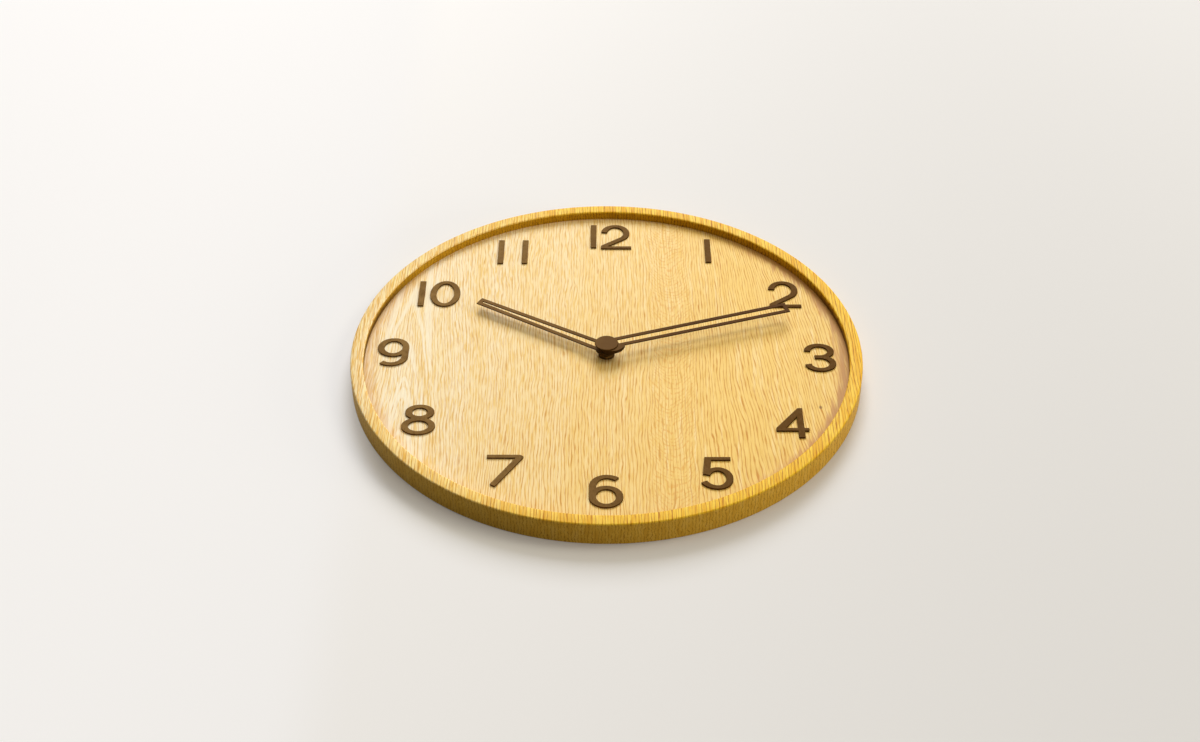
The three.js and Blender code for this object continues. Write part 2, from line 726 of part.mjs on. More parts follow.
// Movement case: one moulded shell, with the battery bay open behind and posts for the arbors
const pivotHole = (axis, low, high, arbor = ARBOR_RADIUS) => post(axis, arbor + PIVOT_CLEARANCE, low, high);
const boss = (axis, low, high) => post(axis, ARBOR_RADIUS + PIVOT_CLEARANCE + BOSS_WALL, low, high);
const rotorBossTop = rotorBottom - LEAF_OVERHANG;
const rotorPostBottom = thirdWheelTop + LEVEL_GAP;
const pivotDepth = BOSS_HEIGHT - LEAF_OVERHANG;

function movementCase() {
  const outline = roundedRectangle(-caseX, caseX, caseBottom, caseTop, CASE_CORNER);
  const shell = cut(
    slab(outline, 0, movementFront),
    block(-caseX - CUT_PAST, caseX + CUT_PAST, trainBottom, caseTop + CUT_PAST, -CUT_PAST, COVER_THICKNESS),
    block(-insideX, insideX, trainBottom, trainTop, -CUT_PAST, frontInside),
    block(-insideX, insideX, bayBottom, bayTop, -CUT_PAST, frontInside),
    shaftHole(),
  );
  const inWall = frontInside + CASE_WALL / 2;
  const bosses = join(
    boss(thirdAxis, frontInside - BOSS_HEIGHT, inWall),
    boss(settingAxis, frontInside - BOSS_HEIGHT, inWall),
    boss(rotorAxis, rotorPostBottom, inWall),
    post(motionAxis, ARBOR_RADIUS, motionWheelBottom - LEAF_OVERHANG, inWall),
  );
  return cut(
    join(shell, bosses),
    pivotHole(thirdAxis, frontInside - BOSS_HEIGHT - CUT_PAST, frontInside),
    pivotHole(settingAxis, frontInside - BOSS_HEIGHT - CUT_PAST, frontInside),
    pivotHole(rotorAxis, rotorPostBottom - CUT_PAST, rotorPostBottom + BOSS_HEIGHT, ROTOR_ARBOR_RADIUS),
  );
}

// Cover: the back plate, with pivot bosses, the knob recess, pads for the stator and the hanger ear
const recessRadius = KNOB_RADIUS + KNOB_CLEARANCE;
const recessTop = KNOB_RECESS + RECESS_WALL;
const legLeft = coilAxis.x - STATOR_SPAN / 2;
const legRight = coilAxis.x + STATOR_SPAN / 2;
const legTop = coilAxis.y + STATOR_LEG / 2;
const earCentre = spot(0, caseTop + EAR_REACH);

function keyhole(low, high) {
  const neck = spot(earCentre.x, earCentre.y + KEYHOLE_RISE);
  return join(
    post(earCentre, KEYHOLE_RADIUS, low, high, ROUND_SEGMENTS),
    post(neck, KEYHOLE_NECK_RADIUS, low, high),
    block(-KEYHOLE_NECK_RADIUS, KEYHOLE_NECK_RADIUS, earCentre.y, neck.y, low, high),
  );
}

function hangerEar() {
  const ridgeTop = COVER_THICKNESS + EAR_RIDGE_HEIGHT;
  const ridge = cut(
    post(earCentre, EAR_RADIUS, 0, ridgeTop, ROUND_SEGMENTS),
    post(earCentre, EAR_RADIUS - EAR_RIDGE_WIDTH, -CUT_PAST, ridgeTop + CUT_PAST, ROUND_SEGMENTS),
    block(-caseX, caseX, caseBottom, caseTop + COVER_CLEARANCE, -CUT_PAST, ridgeTop + CUT_PAST),
  );
  return join(
    post(earCentre, EAR_RADIUS, 0, COVER_THICKNESS, ROUND_SEGMENTS),
    block(-EAR_RADIUS, EAR_RADIUS, caseTop - CASE_CORNER, earCentre.y, 0, COVER_THICKNESS),
    ridge,
  );
}

function movementCover() {
  const coverBottom = trainBottom + COVER_CLEARANCE;
  const outline = roundedRectangle(-caseX, caseX, caseBottom, caseTop, CASE_CORNER);
  const plate = cut(
    slab(outline, 0, COVER_THICKNESS),
    block(-caseX - CUT_PAST, caseX + CUT_PAST, caseBottom - CUT_PAST, coverBottom, -CUT_PAST, movementFront),
  );
  const padTop = legTop - STATOR_LEG;
  const whole = join(
    plate,
    hangerEar(),
    boss(thirdAxis, 0, coverBossTop),
    boss(rotorAxis, 0, rotorBossTop),
    boss(centreAxis, 0, coverBossTop),
    post(settingAxis, recessRadius + RECESS_WALL, 0, recessTop, ROUND_SEGMENTS),
    block(legLeft, legLeft + STATOR_LEG, padTop, legTop, 0, statorBottom),
    block(legRight - STATOR_LEG, legRight, padTop, legTop, 0, statorBottom),
  );
  return cut(
    whole,
    keyhole(-CUT_PAST, COVER_THICKNESS + EAR_RIDGE_HEIGHT + CUT_PAST),
    post(settingAxis, recessRadius, -CUT_PAST, KNOB_RECESS, ROUND_SEGMENTS),
    pivotHole(settingAxis, 0, recessTop + CUT_PAST),
    pivotHole(thirdAxis, coverBossTop - BOSS_HEIGHT, coverBossTop + CUT_PAST),
    pivotHole(rotorAxis, rotorBossTop - BOSS_HEIGHT, rotorBossTop + CUT_PAST, ROTOR_ARBOR_RADIUS),
    pivotHole(centreAxis, coverBossTop - BOSS_HEIGHT, coverBossTop + CUT_PAST),
  );
}

// Battery and its two sprung contacts
const batteryZ = frontInside - BATTERY_DIAMETER / 2 - CONTACT_GAP;
const batteryEnd = BATTERY_LENGTH / 2;

function battery() {
  const radius = BATTERY_DIAMETER / 2;
  const shoulder = batteryEnd - BATTERY_NUB_LENGTH;
  return turned([
    [0, -batteryEnd],
    [radius - BATTERY_EDGE, -batteryEnd],
    [radius, BATTERY_EDGE - batteryEnd],
    [radius, shoulder - BATTERY_EDGE],
    [radius - BATTERY_EDGE, shoulder],
    [BATTERY_NUB_RADIUS, shoulder],
    [BATTERY_NUB_RADIUS, batteryEnd],
    [0, batteryEnd],
  ], ROUND_SEGMENTS).rotate([0, 90, 0]).translate([0, batteryY, batteryZ]);
}

function batteryContact(turn) {
  const wallLeg = insideX - CONTACT_THICKNESS / 2;
  const leaf = batteryEnd + CONTACT_GAP + CONTACT_THICKNESS / 2;
  const bend = (wallLeg - leaf) / 2;
  const half = CONTACT_HEIGHT / 2;
  const profile = band([
    spot(wallLeg, -half),
    ...arc(spot(leaf + bend, half), bend, bend, 0, 180),
    spot(leaf, -half / 2),
  ], CONTACT_THICKNESS);
  return slab(profile, -CONTACT_WIDTH / 2, CONTACT_WIDTH / 2)
    .rotate([90, 0, turn])
    .translate([0, batteryY, batteryZ]);
}

// Going train and motion work
function centreWheel() {
  const wheelTeeth = gearShape(CENTRE_TEETH, CENTRE_MODULE, WHEEL_TOOTH, centrePhase);
  const cannonTeeth = gearShape(CANNON_TEETH, MOTION_MODULE, LEAF_TOOTH, centrePhase);
  const whole = join(
    gear(centreAxis, wheelTeeth, centreWheelBottom, centreWheelTop),
    gear(centreAxis, cannonTeeth, cannonBottom, cannonTop),
    post(centreAxis, minuteTubeRadius, centreWheelBottom, minuteHandTop, ROUND_SEGMENTS),
    post(centreAxis, ARBOR_RADIUS, coverBossTop - pivotDepth, centreWheelBottom),
  );
  const boreBottom = minuteHandTop - CAP_PIN_LENGTH - CAP_PIN_CLEARANCE;
  return cut(whole, post(centreAxis, minuteTubeBore, boreBottom, minuteHandTop + CUT_PAST));
}

function hourWheel() {
  const wheelTeeth = gearShape(HOUR_TEETH, hourModule, WHEEL_TOOTH, hourPhase);
  const whole = join(
    gear(centreAxis, wheelTeeth, hourWheelBottom, hourWheelTop),
    post(centreAxis, HOUR_TUBE_RADIUS, hourWheelBottom, hourHandTop, ROUND_SEGMENTS),
  );
  const low = hourWheelBottom - CUT_PAST;
  return cut(whole, post(centreAxis, hourTubeBore, low, hourHandTop + CUT_PAST, ROUND_SEGMENTS));
}

function motionWheel() {
  const wheelTeeth = gearShape(MOTION_TEETH, MOTION_MODULE, WHEEL_TOOTH, motionPhase);
  const leaves = gearShape(MOTION_LEAVES, hourModule, LEAF_TOOTH, motionPhase);
  const leavesTop = hourWheelTop + LEAF_OVERHANG;
  const whole = join(
    gear(motionAxis, wheelTeeth, motionWheelBottom, motionWheelTop),
    gear(motionAxis, leaves, motionWheelBottom, leavesTop),
  );
  return cut(whole, pivotHole(motionAxis, motionWheelBottom - CUT_PAST, leavesTop + CUT_PAST));
}

function thirdWheel() {
  const wheelTeeth = gearShape(THIRD_TEETH, THIRD_MODULE, WHEEL_TOOTH, thirdPhase);
  const leaves = gearShape(LEAVES, CENTRE_MODULE, LEAF_TOOTH, thirdPhase);
  const leavesTop = centreWheelTop + LEAF_OVERHANG;
  return join(
    gear(thirdAxis, wheelTeeth, thirdWheelBottom, thirdWheelTop),
    gear(thirdAxis, leaves, thirdLeavesBottom, leavesTop),
    post(thirdAxis, ARBOR_RADIUS, coverBossTop - pivotDepth, frontInside - BOSS_HEIGHT + pivotDepth),
  );
}

function rotorPinion() {
  const leaves = gearShape(LEAVES, THIRD_MODULE, LEAF_TOOTH, rotorPhase);
  const leavesTop = thirdWheelTop + LEAF_OVERHANG;
  return join(
    gear(rotorAxis, leaves, rotorLeavesBottom, leavesTop),
    post(rotorAxis, ROTOR_ARBOR_RADIUS, rotorBossTop - pivotDepth, rotorPostBottom + pivotDepth),
  );
}

function rotorMagnet() {
  const boreRadius = ROTOR_ARBOR_RADIUS + HAND_BORE_CLEARANCE;
  const bore = post(rotorAxis, boreRadius, rotorBottom - CUT_PAST, rotorTop + CUT_PAST);
  return cut(post(rotorAxis, ROTOR_RADIUS, rotorBottom, rotorTop, ROUND_SEGMENTS), bore);
}

// Setting stem and its fluted knob, sunk in the cover so that the clock hangs flat
function settingStem() {
  const leaves = gearShape(SETTING_TEETH, MOTION_MODULE, LEAF_TOOTH, settingPhase);
  return join(
    gear(settingAxis, leaves, cannonBottom, cannonTop),
    post(settingAxis, ARBOR_RADIUS, KNOB_SUNK, frontInside - BOSS_HEIGHT + pivotDepth),
  );
}

function settingKnob() {
  const low = KNOB_SUNK;
  const high = low + KNOB_HEIGHT;
  const flutes = [];
  for (let index = 0; index < KNOB_FLUTES; index += 1) {
    const middle = polar(KNOB_RADIUS, index * 360 / KNOB_FLUTES, settingAxis);
    flutes.push(post(middle, KNOB_FLUTE_RADIUS, low - CUT_PAST, high + CUT_PAST, KNOB_FLUTE_SIDES));
  }
  const bore = post(settingAxis, ARBOR_RADIUS + HAND_BORE_CLEARANCE, low - CUT_PAST, high + CUT_PAST);
  return cut(post(settingAxis, KNOB_RADIUS, low, high, ROUND_SEGMENTS), bore, ...flutes);
}

// Motor: a stator plate round the rotor, bridged by the coil on its core
function stator() {
  const barLow = rotorAxis.y - STATOR_BAR / 2 + BOSS_WALL;
  const barHigh = barLow + STATOR_BAR;
  const gapRadius = ROTOR_RADIUS + ROTOR_GAP;
  const plate = join(
    block(legLeft, legRight, barLow, barHigh, statorBottom, statorTop),
    block(legLeft, legLeft + STATOR_LEG, barLow, legTop, statorBottom, statorTop),
    block(legRight - STATOR_LEG, legRight, barLow, legTop, statorBottom, statorTop),
    post(rotorAxis, gapRadius + STATOR_BOSS_WALL, statorBottom, statorTop, ROUND_SEGMENTS),
  );
  const low = statorBottom - CUT_PAST;
  return cut(plate, post(rotorAxis, gapRadius, low, statorTop + CUT_PAST, ROUND_SEGMENTS));
}

const coreTop = statorTop + STATOR_THICKNESS;
const coreZ = (statorTop + coreTop) / 2;

function coilCore() {
  const padLow = legTop - STATOR_LEG;
  return join(
    block(legLeft, legLeft + STATOR_LEG, padLow, legTop, statorTop, coreTop),
    block(legRight - STATOR_LEG, legRight, padLow, legTop, statorTop, coreTop),
    block(legLeft, legRight, coilAxis.y - CORE_WIDTH / 2, coilAxis.y + CORE_WIDTH / 2, statorTop, coreTop),
  );
}

const alongCoil = body => body.rotate([0, 90, 0]).translate([coilAxis.x, coilAxis.y, coreZ]);

function coilBobbin() {
  const half = COIL_LENGTH / 2;
  const end = half + BOBBIN_FLANGE;
  const spool = turned([
    [0, -end],
    [COIL_RADIUS, -end],
    [COIL_RADIUS, -half],
    [BOBBIN_RADIUS, -half],
    [BOBBIN_RADIUS, half],
    [COIL_RADIUS, half],
    [COIL_RADIUS, end],
    [0, end],
  ], SMALL_SEGMENTS);
  const sideways = STATOR_THICKNESS / 2 + BOBBIN_CLEARANCE;
  const across = CORE_WIDTH / 2 + BOBBIN_CLEARANCE;
  const way = end + CUT_PAST;
  return alongCoil(cut(spool, block(-sideways, sideways, -across, across, -way, way)));
}

function coilWinding() {
  const half = COIL_LENGTH / 2 - BOBBIN_CLEARANCE;
  const inner = BOBBIN_RADIUS + BOBBIN_CLEARANCE;
  const outer = COIL_RADIUS - BOBBIN_CLEARANCE;
  return alongCoil(turned([
    [inner, -half],
    [outer, -half],
    [outer, half],
    [inner, half],
    [inner, -half],
  ], SMALL_SEGMENTS));
}

// Electronics on the inside of the cover
const circuitRight = legLeft - WALL_CLEARANCE;
const circuitLeft = circuitRight - BOARD_LENGTH;
const circuitTop = trainTop - WALL_CLEARANCE;
const circuitBottom = circuitTop - BOARD_WIDTH;
const circuitFace = COVER_THICKNESS + BOARD_THICKNESS;
const circuitMiddle = (circuitTop + circuitBottom) / 2;

function circuitBoard() {
  return block(circuitLeft, circuitRight, circuitBottom, circuitTop, COVER_THICKNESS, circuitFace);
}

function timingChip() {
  return turned([
    [0, 0],
    [CHIP_RADIUS, 0],
    [CHIP_SHOULDER_RADIUS, CHIP_SHOULDER_HEIGHT],
    [CHIP_TOP_RADIUS, CHIP_HEIGHT],
    [0, CHIP_HEIGHT],
  ], SMALL_SEGMENTS).translate([circuitLeft + 2 * CHIP_RADIUS, circuitMiddle, circuitFace]);
}

function quartzCrystal() {
  const half = CRYSTAL_LENGTH / 2;
  const place = [circuitRight - CRYSTAL_LENGTH, circuitMiddle, circuitFace + CRYSTAL_RADIUS + CRYSTAL_GAP];
  return post(centreAxis, CRYSTAL_RADIUS, -half, half).rotate([0, 90, 0]).translate(place);
}

// Finishes
function finish(color, roughness, metalness = 0) {
  return new THREE.MeshStandardMaterial({ color, roughness, metalness });
}

const OAK_RIM = finish(0xd9ab4a, 0.55);
const OAK_FACE = finish(0xe6c88c, 0.55);
const FIBREBOARD = finish(0xb08d5e, 0.85);
const BROWN_DIGIT = finish(0x6f543a, 0.7);
const BROWN_HAND = finish(0x5b4029, 0.6);
const DARK_STEEL = finish(0x2c2825, 0.4, 0.8);
const BRASS = finish(0xc9a24e, 0.35, 0.9);
const BLACK_PLASTIC = finish(0x1d1d1f, 0.5);
const WHITE_PLASTIC = finish(0xe8e6df, 0.5);
const RUBBER = finish(0x161616, 0.9);
const CELL_WRAP = finish(0x3a3f45, 0.35, 0.3);
const NICKEL = finish(0xbfc1c2, 0.3, 0.95);
const SOFT_IRON = finish(0x8d9093, 0.4, 0.9);
const COPPER = finish(0xb4693a, 0.35, 0.9);
const GREEN_LAMINATE = finish(0x2f6b46, 0.5);
const FERRITE = finish(0x3b3a3d, 0.5, 0.3);

const clock = new THREE.Group();

function addPiece(name, body, material) {
  const mesh = new THREE.Mesh(geometryOf(body), material);
  mesh.name = name;
  clock.add(mesh);
  return mesh;
}

addPiece('rim', rim(), OAK_RIM);
addPiece('dial_board', dialBoard(), FIBREBOARD);
addPiece('dial_veneer', dialVeneer(), OAK_FACE);

for (const { hour, shift, digits } of HOURS) {
  const place = polar(digitRing, TWELVE_BEARING - HOUR_STEP * hour);
  for (const [name, makeDigit, along] of digits) {
    const digit = addPiece(name, makeDigit(), BROWN_DIGIT);
    digit.position.set(place.x + shift[0] + along, place.y + shift[1], 0);
  }
}

addPiece('fixing_washer', fixingWasher(), DARK_STEEL);
addPiece('fixing_nut', fixingNut(), DARK_STEEL);
addPiece('movement_bush', movementBush(), BRASS);
addPiece('movement_gasket', movementGasket(), RUBBER);
addPiece('movement_case', movementCase(), BLACK_PLASTIC);
addPiece('movement_cover', movementCover(), BLACK_PLASTIC);
addPiece('battery', battery(), CELL_WRAP);
addPiece('battery_contact_positive', batteryContact(0), NICKEL);
addPiece('battery_contact_negative', batteryContact(180), NICKEL);
addPiece('circuit_board', circuitBoard(), GREEN_LAMINATE);
addPiece('timing_chip', timingChip(), BLACK_PLASTIC);
addPiece('quartz_crystal', quartzCrystal(), NICKEL);
addPiece('stator', stator(), SOFT_IRON);
addPiece('coil_core', coilCore(), SOFT_IRON);
addPiece('coil_bobbin', coilBobbin(), WHITE_PLASTIC);
addPiece('coil_winding', coilWinding(), COPPER);
addPiece('rotor_magnet', rotorMagnet(), FERRITE);
addPiece('rotor_pinion', rotorPinion(), WHITE_PLASTIC);
addPiece('third_wheel', thirdWheel(), WHITE_PLASTIC);
addPiece('motion_wheel', motionWheel(), WHITE_PLASTIC);
addPiece('setting_stem', settingStem(), WHITE_PLASTIC);
addPiece('setting_knob', settingKnob(), WHITE_PLASTIC);
addPiece('hour_wheel', hourWheel(), WHITE_PLASTIC);
addPiece('centre_wheel', centreWheel(), BRASS);
addPiece('hour_hand', hourHand(), BROWN_HAND);
addPiece('minute_hand', minuteHand(), BROWN_HAND);
addPiece('hub_cap', hubCap(), BROWN_HAND);

export default clock;
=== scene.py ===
import math

import bmesh
import bpy
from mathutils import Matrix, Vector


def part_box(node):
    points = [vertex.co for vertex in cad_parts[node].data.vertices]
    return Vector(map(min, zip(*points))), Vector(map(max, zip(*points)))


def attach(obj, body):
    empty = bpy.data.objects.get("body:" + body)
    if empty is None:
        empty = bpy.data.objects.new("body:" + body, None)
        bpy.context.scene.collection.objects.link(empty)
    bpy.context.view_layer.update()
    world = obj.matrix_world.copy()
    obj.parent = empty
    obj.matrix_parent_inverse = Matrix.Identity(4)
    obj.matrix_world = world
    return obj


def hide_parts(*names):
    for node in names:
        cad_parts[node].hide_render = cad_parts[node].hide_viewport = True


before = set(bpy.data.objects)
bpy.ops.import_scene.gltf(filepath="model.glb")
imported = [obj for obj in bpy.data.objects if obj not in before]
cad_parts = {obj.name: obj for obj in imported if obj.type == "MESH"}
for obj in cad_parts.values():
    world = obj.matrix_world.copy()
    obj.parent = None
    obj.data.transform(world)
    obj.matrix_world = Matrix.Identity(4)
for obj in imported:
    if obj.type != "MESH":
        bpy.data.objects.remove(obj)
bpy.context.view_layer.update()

# Rim: a ring turned from one oak board, with a rebate behind for the dial and softly rounded edges.
# The grain runs from twelve to six all over it. The turned walls cut across the grain and hold more oil,
# so they are deeper in colour than the top.
# The lip inside is deeper again, partly from that oil and partly as painted shade.
mm = 0.001

# Sizes of the turned ring
RIM_LIP = 142.4 * mm
RIM_REBATE = 145.5 * mm
RIM_STEPS = 300
TOP_ROUNDING = 0.9 * mm
BACK_ROUNDING = 0.5 * mm
ROUNDING_STEPS = 5
SHARP_ANGLE = math.radians(35)
UPRIGHT_LIMIT = 0.4
TOUCHING = 1e-7

# Oak grain, shared with the veneer
PORE_SPACING = 1.8 * mm
PORE_WANDER = 11.0
PORE_HEIGHT = 0.1 * mm
HAIR_HEIGHT = 0.4
HAIR_SHARE = 0.7
BAND_SHARE = 0.3
STREAK_SHARE = 0.5
MELLOW_REACH = 0.9
OAK_ROUGHNESS = 0.42
HAIR_ROUGHNESS = 0.2
OAK_SHINE = 0.1

# Changes of colour over the rim
RIM_DRIFT = 6 * mm
RIM_PATCHES = 0.3
RIM_RELIEF = 0.3
PALE_SHEEN_SIDE = -175 * mm
FAINT_SIDE = -150 * mm
LIP_SHADE = 5.0 * mm
LIP_SIDES = (115 * mm, 138 * mm)

rim_low, rim_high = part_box("rim")
dial_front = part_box("dial_veneer")[1].z


def add_node(tree, kind, **settings):
    """A new node with its settings."""
    made = tree.nodes.new(kind)
    for name, value in settings.items():
        setattr(made, name, value)
    return made


def plug(tree, socket, value):
    """Link a socket to another node's output, or set its constant."""
    if isinstance(value, bpy.types.NodeSocket):
        tree.links.new(value, socket)
    elif socket.type == "RGBA":
        socket.default_value = (*value, 1)
    else:
        socket.default_value = value


def feed(tree, made, **values):
    """Plug a node's inputs by their names, with underscores for spaces."""
    for name, value in values.items():
        plug(tree, made.inputs[name.replace("_", " ")], value)
    return made


def maths(tree, operation, *values, clamp=False):
    """One step of arithmetic on sockets or numbers."""
    made = add_node(tree, "ShaderNodeMath", operation=operation, use_clamp=clamp)
    for socket, value in zip(made.inputs, values):
        plug(tree, socket, value)
    return made.outputs[0]


def times(tree, first, second):
    return maths(tree, "MULTIPLY", first, second)


def blended(tree, share, first, second):
    """A colour that goes from the first to the second as the share goes from 0 to 1."""
    made = add_node(tree, "ShaderNodeMix", data_type="RGBA")
    # The mix node has sockets for every kind of value, and these are the ones for colours
    colour_inputs = (made.inputs[0], made.inputs[6], made.inputs[7])
    for socket, value in zip(colour_inputs, (share, first, second)):
        plug(tree, socket, value)
    return made.outputs[2]


def between(tree, value, low, high, start=0.0, end=1.0):
    """An eased step from start to end, as the value goes from low to high."""
    made = add_node(tree, "ShaderNodeMapRange", interpolation_type="SMOOTHSTEP")
    for socket, given in zip(made.inputs, (value, low, high, start, end)):
        plug(tree, socket, given)
    return made.outputs[0]


def object_place(tree):
    return add_node(tree, "ShaderNodeTexCoord").outputs["Object"]


def parts_of(tree, vector):
    """The x, y and z of a vector."""
    made = add_node(tree, "ShaderNodeSeparateXYZ")
    tree.links.new(vector, made.inputs[0])
    return made.outputs


def cloud(tree, place, scale, offset=(0, 0, 0), detail=2, roughness=0.5, distortion=0.0):
    """Soft noise, with a scale in waves per metre and an offset that picks another part of it."""
    stretched = add_node(tree, "ShaderNodeMapping")
    feed(tree, stretched, Vector=place, Scale=scale, Location=offset)
    noise = add_node(tree, "ShaderNodeTexNoise")
    feed(tree, noise, Vector=stretched.outputs[0], Scale=1.0)
    feed(tree, noise, Detail=detail, Roughness=roughness, Distortion=distortion)
    return noise.outputs[0]


def linear(red, green, blue):
    """A linear colour from display values of 0 to 255, by the standard display curve."""
    parts = [part / 255 for part in (red, green, blue)]
    return tuple(part / 12.92 if part <= 0.04045 else ((part + 0.055) / 1.055) ** 2.4 for part in parts)


def new_finish(name):
    material = bpy.data.materials.new(name)
    material.use_nodes = True
    tree = material.node_tree
    return material, tree, tree.nodes["Principled BSDF"]


def bumped(tree, shader, height, strength, depth):
    made = add_node(tree, "ShaderNodeBump")
    feed(tree, made, Strength=strength, Distance=depth, Height=height)
    tree.links.new(made.outputs[0], shader.inputs["Normal"])


def oak_place(tree, across, along, up):
    place = add_node(tree, "ShaderNodeCombineXYZ")
    for socket, value in zip(place.inputs, (across, along, up)):
        plug(tree, socket, value)
    return place.outputs[0]


def oak_pores(tree, across, along, up):
    """Rows of fine dashes and hairs, as open pores show on a planed face of oak."""
    grain = oak_place(tree, across, along, up)
    wander = cloud(tree, grain, (300, 38, 300), roughness=0.6)
    turns = maths(tree, "MULTIPLY_ADD", across, math.tau / PORE_SPACING, times(tree, wander, PORE_WANDER))
    rows = between(tree, maths(tree, "SINE", turns), 0.35, 0.95)
    breaks = cloud(tree, grain, (700, 90, 700), (1.4, 9.2, 3.8), roughness=0.6)
    dashes = times(tree, rows, between(tree, breaks, 0.2, 0.68))
    hairs = cloud(tree, grain, (2100, 95, 2100), (3.1, 7.7, 1.3), detail=1)
    return dashes, hairs


def oak_figure(tree, across, along, up):
    """Pale lines and slow bands, as the year rings show."""
    grain = oak_place(tree, across, along, up)
    lines = cloud(tree, grain, (420, 13, 130), (8.2, 2.6, 6.5), roughness=0.6)
    bands = cloud(tree, grain, (75, 2.2, 60), (5.3, 1.9, 4.1))
    return lines, bands


def mellow_and_sheen(tree, sideways, slow, patches):
    """How golden the wood is, from 0 to 1: more to one side, and in soft patches; the paler side is partly
    painted sheen.
    """
    even = maths(tree, "MULTIPLY_ADD", sideways, MELLOW_REACH, -patches / 2)
    return maths(tree, "MULTIPLY_ADD", slow, patches, even, clamp=True)


def oak_colour(tree, pores, figure, pale, golden, streak, deep, pore, mellow, pore_depth, ring_depth):
    """Pale to golden wood, then bands, pale streaks, deeper rings and hairs, and the pores over them."""
    dashes, hairs = pores
    lines, bands = figure
    colour = blended(tree, mellow, pale, golden)
    colour = blended(tree, between(tree, bands, 0.35, 0.7, end=BAND_SHARE), colour, golden)
    colour = blended(tree, between(tree, lines, 0.52, 0.7, end=STREAK_SHARE), colour, streak)
    colour = blended(tree, between(tree, lines, 0.52, 0.36, end=ring_depth), colour, deep)
    colour = blended(tree, between(tree, hairs, 0.48, 0.62, end=HAIR_SHARE), colour, deep)
    return blended(tree, times(tree, dashes, pore_depth), colour, pore)


def oak_surface(tree, shader, colour, pores, relief):
    """Satin lacquer that dips into the pores."""
    dashes, hairs = pores
    rough = maths(tree, "MULTIPLY_ADD", hairs, HAIR_ROUGHNESS, OAK_ROUGHNESS)
    feed(tree, shader, Base_Color=colour, Roughness=rough, Specular_IOR_Level=OAK_SHINE)
    height = maths(tree, "MULTIPLY_ADD", dashes, -1.0, times(tree, hairs, HAIR_HEIGHT))
    bumped(tree, shader, height, relief, PORE_HEIGHT)


def painted_corner_shade(tree, colour, x, z):
    """Painted shade at the lip's foot against the dial, most of all beside three and nine o'clock."""
    foot = between(tree, z, dial_front + LIP_SHADE, dial_front + 0.3 * LIP_SHADE)
    beside = between(tree, maths(tree, "ABSOLUTE", x), *LIP_SIDES, start=0.05, end=0.85)
    return blended(tree, times(tree, foot, beside), colour, linear(74, 46, 14))


def rim_oak(name, pale, golden, streak, deep, pore, corner_shade=False):
    material, tree, shader = new_finish(name)
    place = object_place(tree)
    x, y, z = parts_of(tree, place)
    drift = cloud(tree, place, (14, 5, 14))
    across = maths(tree, "MULTIPLY_ADD", drift, RIM_DRIFT, x)
    pores = oak_pores(tree, across, y, z)
    slow = cloud(tree, place, (7, 7, 7), (2.2, 0.4, 0), detail=1)
    colour = oak_colour(
        tree,
        pores,
        oak_figure(tree, across, y, z),
        pale,
        golden,
        streak,
        deep,
        pore,
        # Paler to the left: partly the oak's own tone, partly a painted sheen.
        mellow=mellow_and_sheen(tree, between(tree, x, PALE_SHEEN_SIDE, 0.0), slow, RIM_PATCHES),
        pore_depth=between(tree, x, FAINT_SIDE, 0.0, start=0.5, end=1.0),
        ring_depth=between(tree, x, FAINT_SIDE, 0.0, start=0.3, end=0.7),
    )
    # Painted shade darkens the lip's foot.
    if corner_shade:
        colour = painted_corner_shade(tree, colour, x, z)
    oak_surface(tree, shader, colour, pores, RIM_RELIEF)
    return material


rim_top_oak = rim_oak(
    "golden_oak_top",
    pale=linear(255, 240, 198),
    golden=linear(253, 208, 40),
    streak=linear(255, 222, 86),
    deep=linear(232, 170, 14),
    pore=linear(184, 114, 0),
)
rim_wall_oak = rim_oak(
    "golden_oak_wall",
    pale=linear(240, 196, 98),
    golden=linear(238, 190, 72),
    streak=linear(242, 200, 104),
    deep=linear(222, 168, 52),
    pore=linear(188, 132, 32),
)
# Lip colours: partly oil in the cross grain, partly painted shade of the inner wall.
rim_lip_oak_and_shade = rim_oak(
    "golden_oak_lip_and_shade",
    pale=linear(210, 164, 46),
    golden=linear(202, 152, 18),
    streak=linear(212, 166, 44),
    deep=linear(180, 128, 10),
    pore=linear(124, 80, 4),
    corner_shade=True,
)


def rounded_corner(before, corner, after, radius):
    """Points of a quarter turn that softens a right-angled corner of a profile."""
    if radius == 0:
        return [corner]
    into = [(corner[i] - before[i]) / math.dist(corner, before) for i in range(2)]
    out = [(after[i] - corner[i]) / math.dist(after, corner) for i in range(2)]
    points = []
    for step in range(ROUNDING_STEPS + 1):
        turn = math.pi / 2 * step / ROUNDING_STEPS
        points.append(tuple(
            corner[i] - into[i] * radius * (1 - math.sin(turn)) + out[i] * radius * (1 - math.cos(turn))
            for i in range(2)
        ))
    return points


def profile_of(corners):
    """A closed line of points from (radius, z, rounding) corners."""
    points = []
    for index, (radius, z, rounding) in enumerate(corners):
        before = corners[index - 1][:2]
        after = corners[(index + 1) % len(corners)][:2]
        points += rounded_corner(before, (radius, z), after, rounding)
    return points


def named_inputs(group, kinds):
    """Give a node tree its inputs, and return their identifiers by name."""
    sockets = {}
    for label, kind in kinds.items():
        made = group.interface.new_socket(label, in_out="INPUT", socket_type="NodeSocket" + kind)
        sockets[label] = made.identifier
    return sockets


def circle_line(group, steps, radius):
    made = add_node(group, "GeometryNodeCurvePrimitiveCircle", mode="RADIUS")
    return feed(group, made, Resolution=steps, Radius=radius).outputs["Curve"]


def swept(group, path, profile):
    made = add_node(group, "GeometryNodeCurveToMesh")
    return feed(group, made, Curve=path, Profile_Curve=profile).outputs[0]


def realized(group, shape):
    return feed(group, add_node(group, "GeometryNodeRealizeInstances"), Geometry=shape).outputs[0]


def finished(group, shape, finish, **where):
    made = add_node(group, "GeometryNodeSetMaterial")
    return feed(group, made, Geometry=shape, Material=finish, **where).outputs[0]


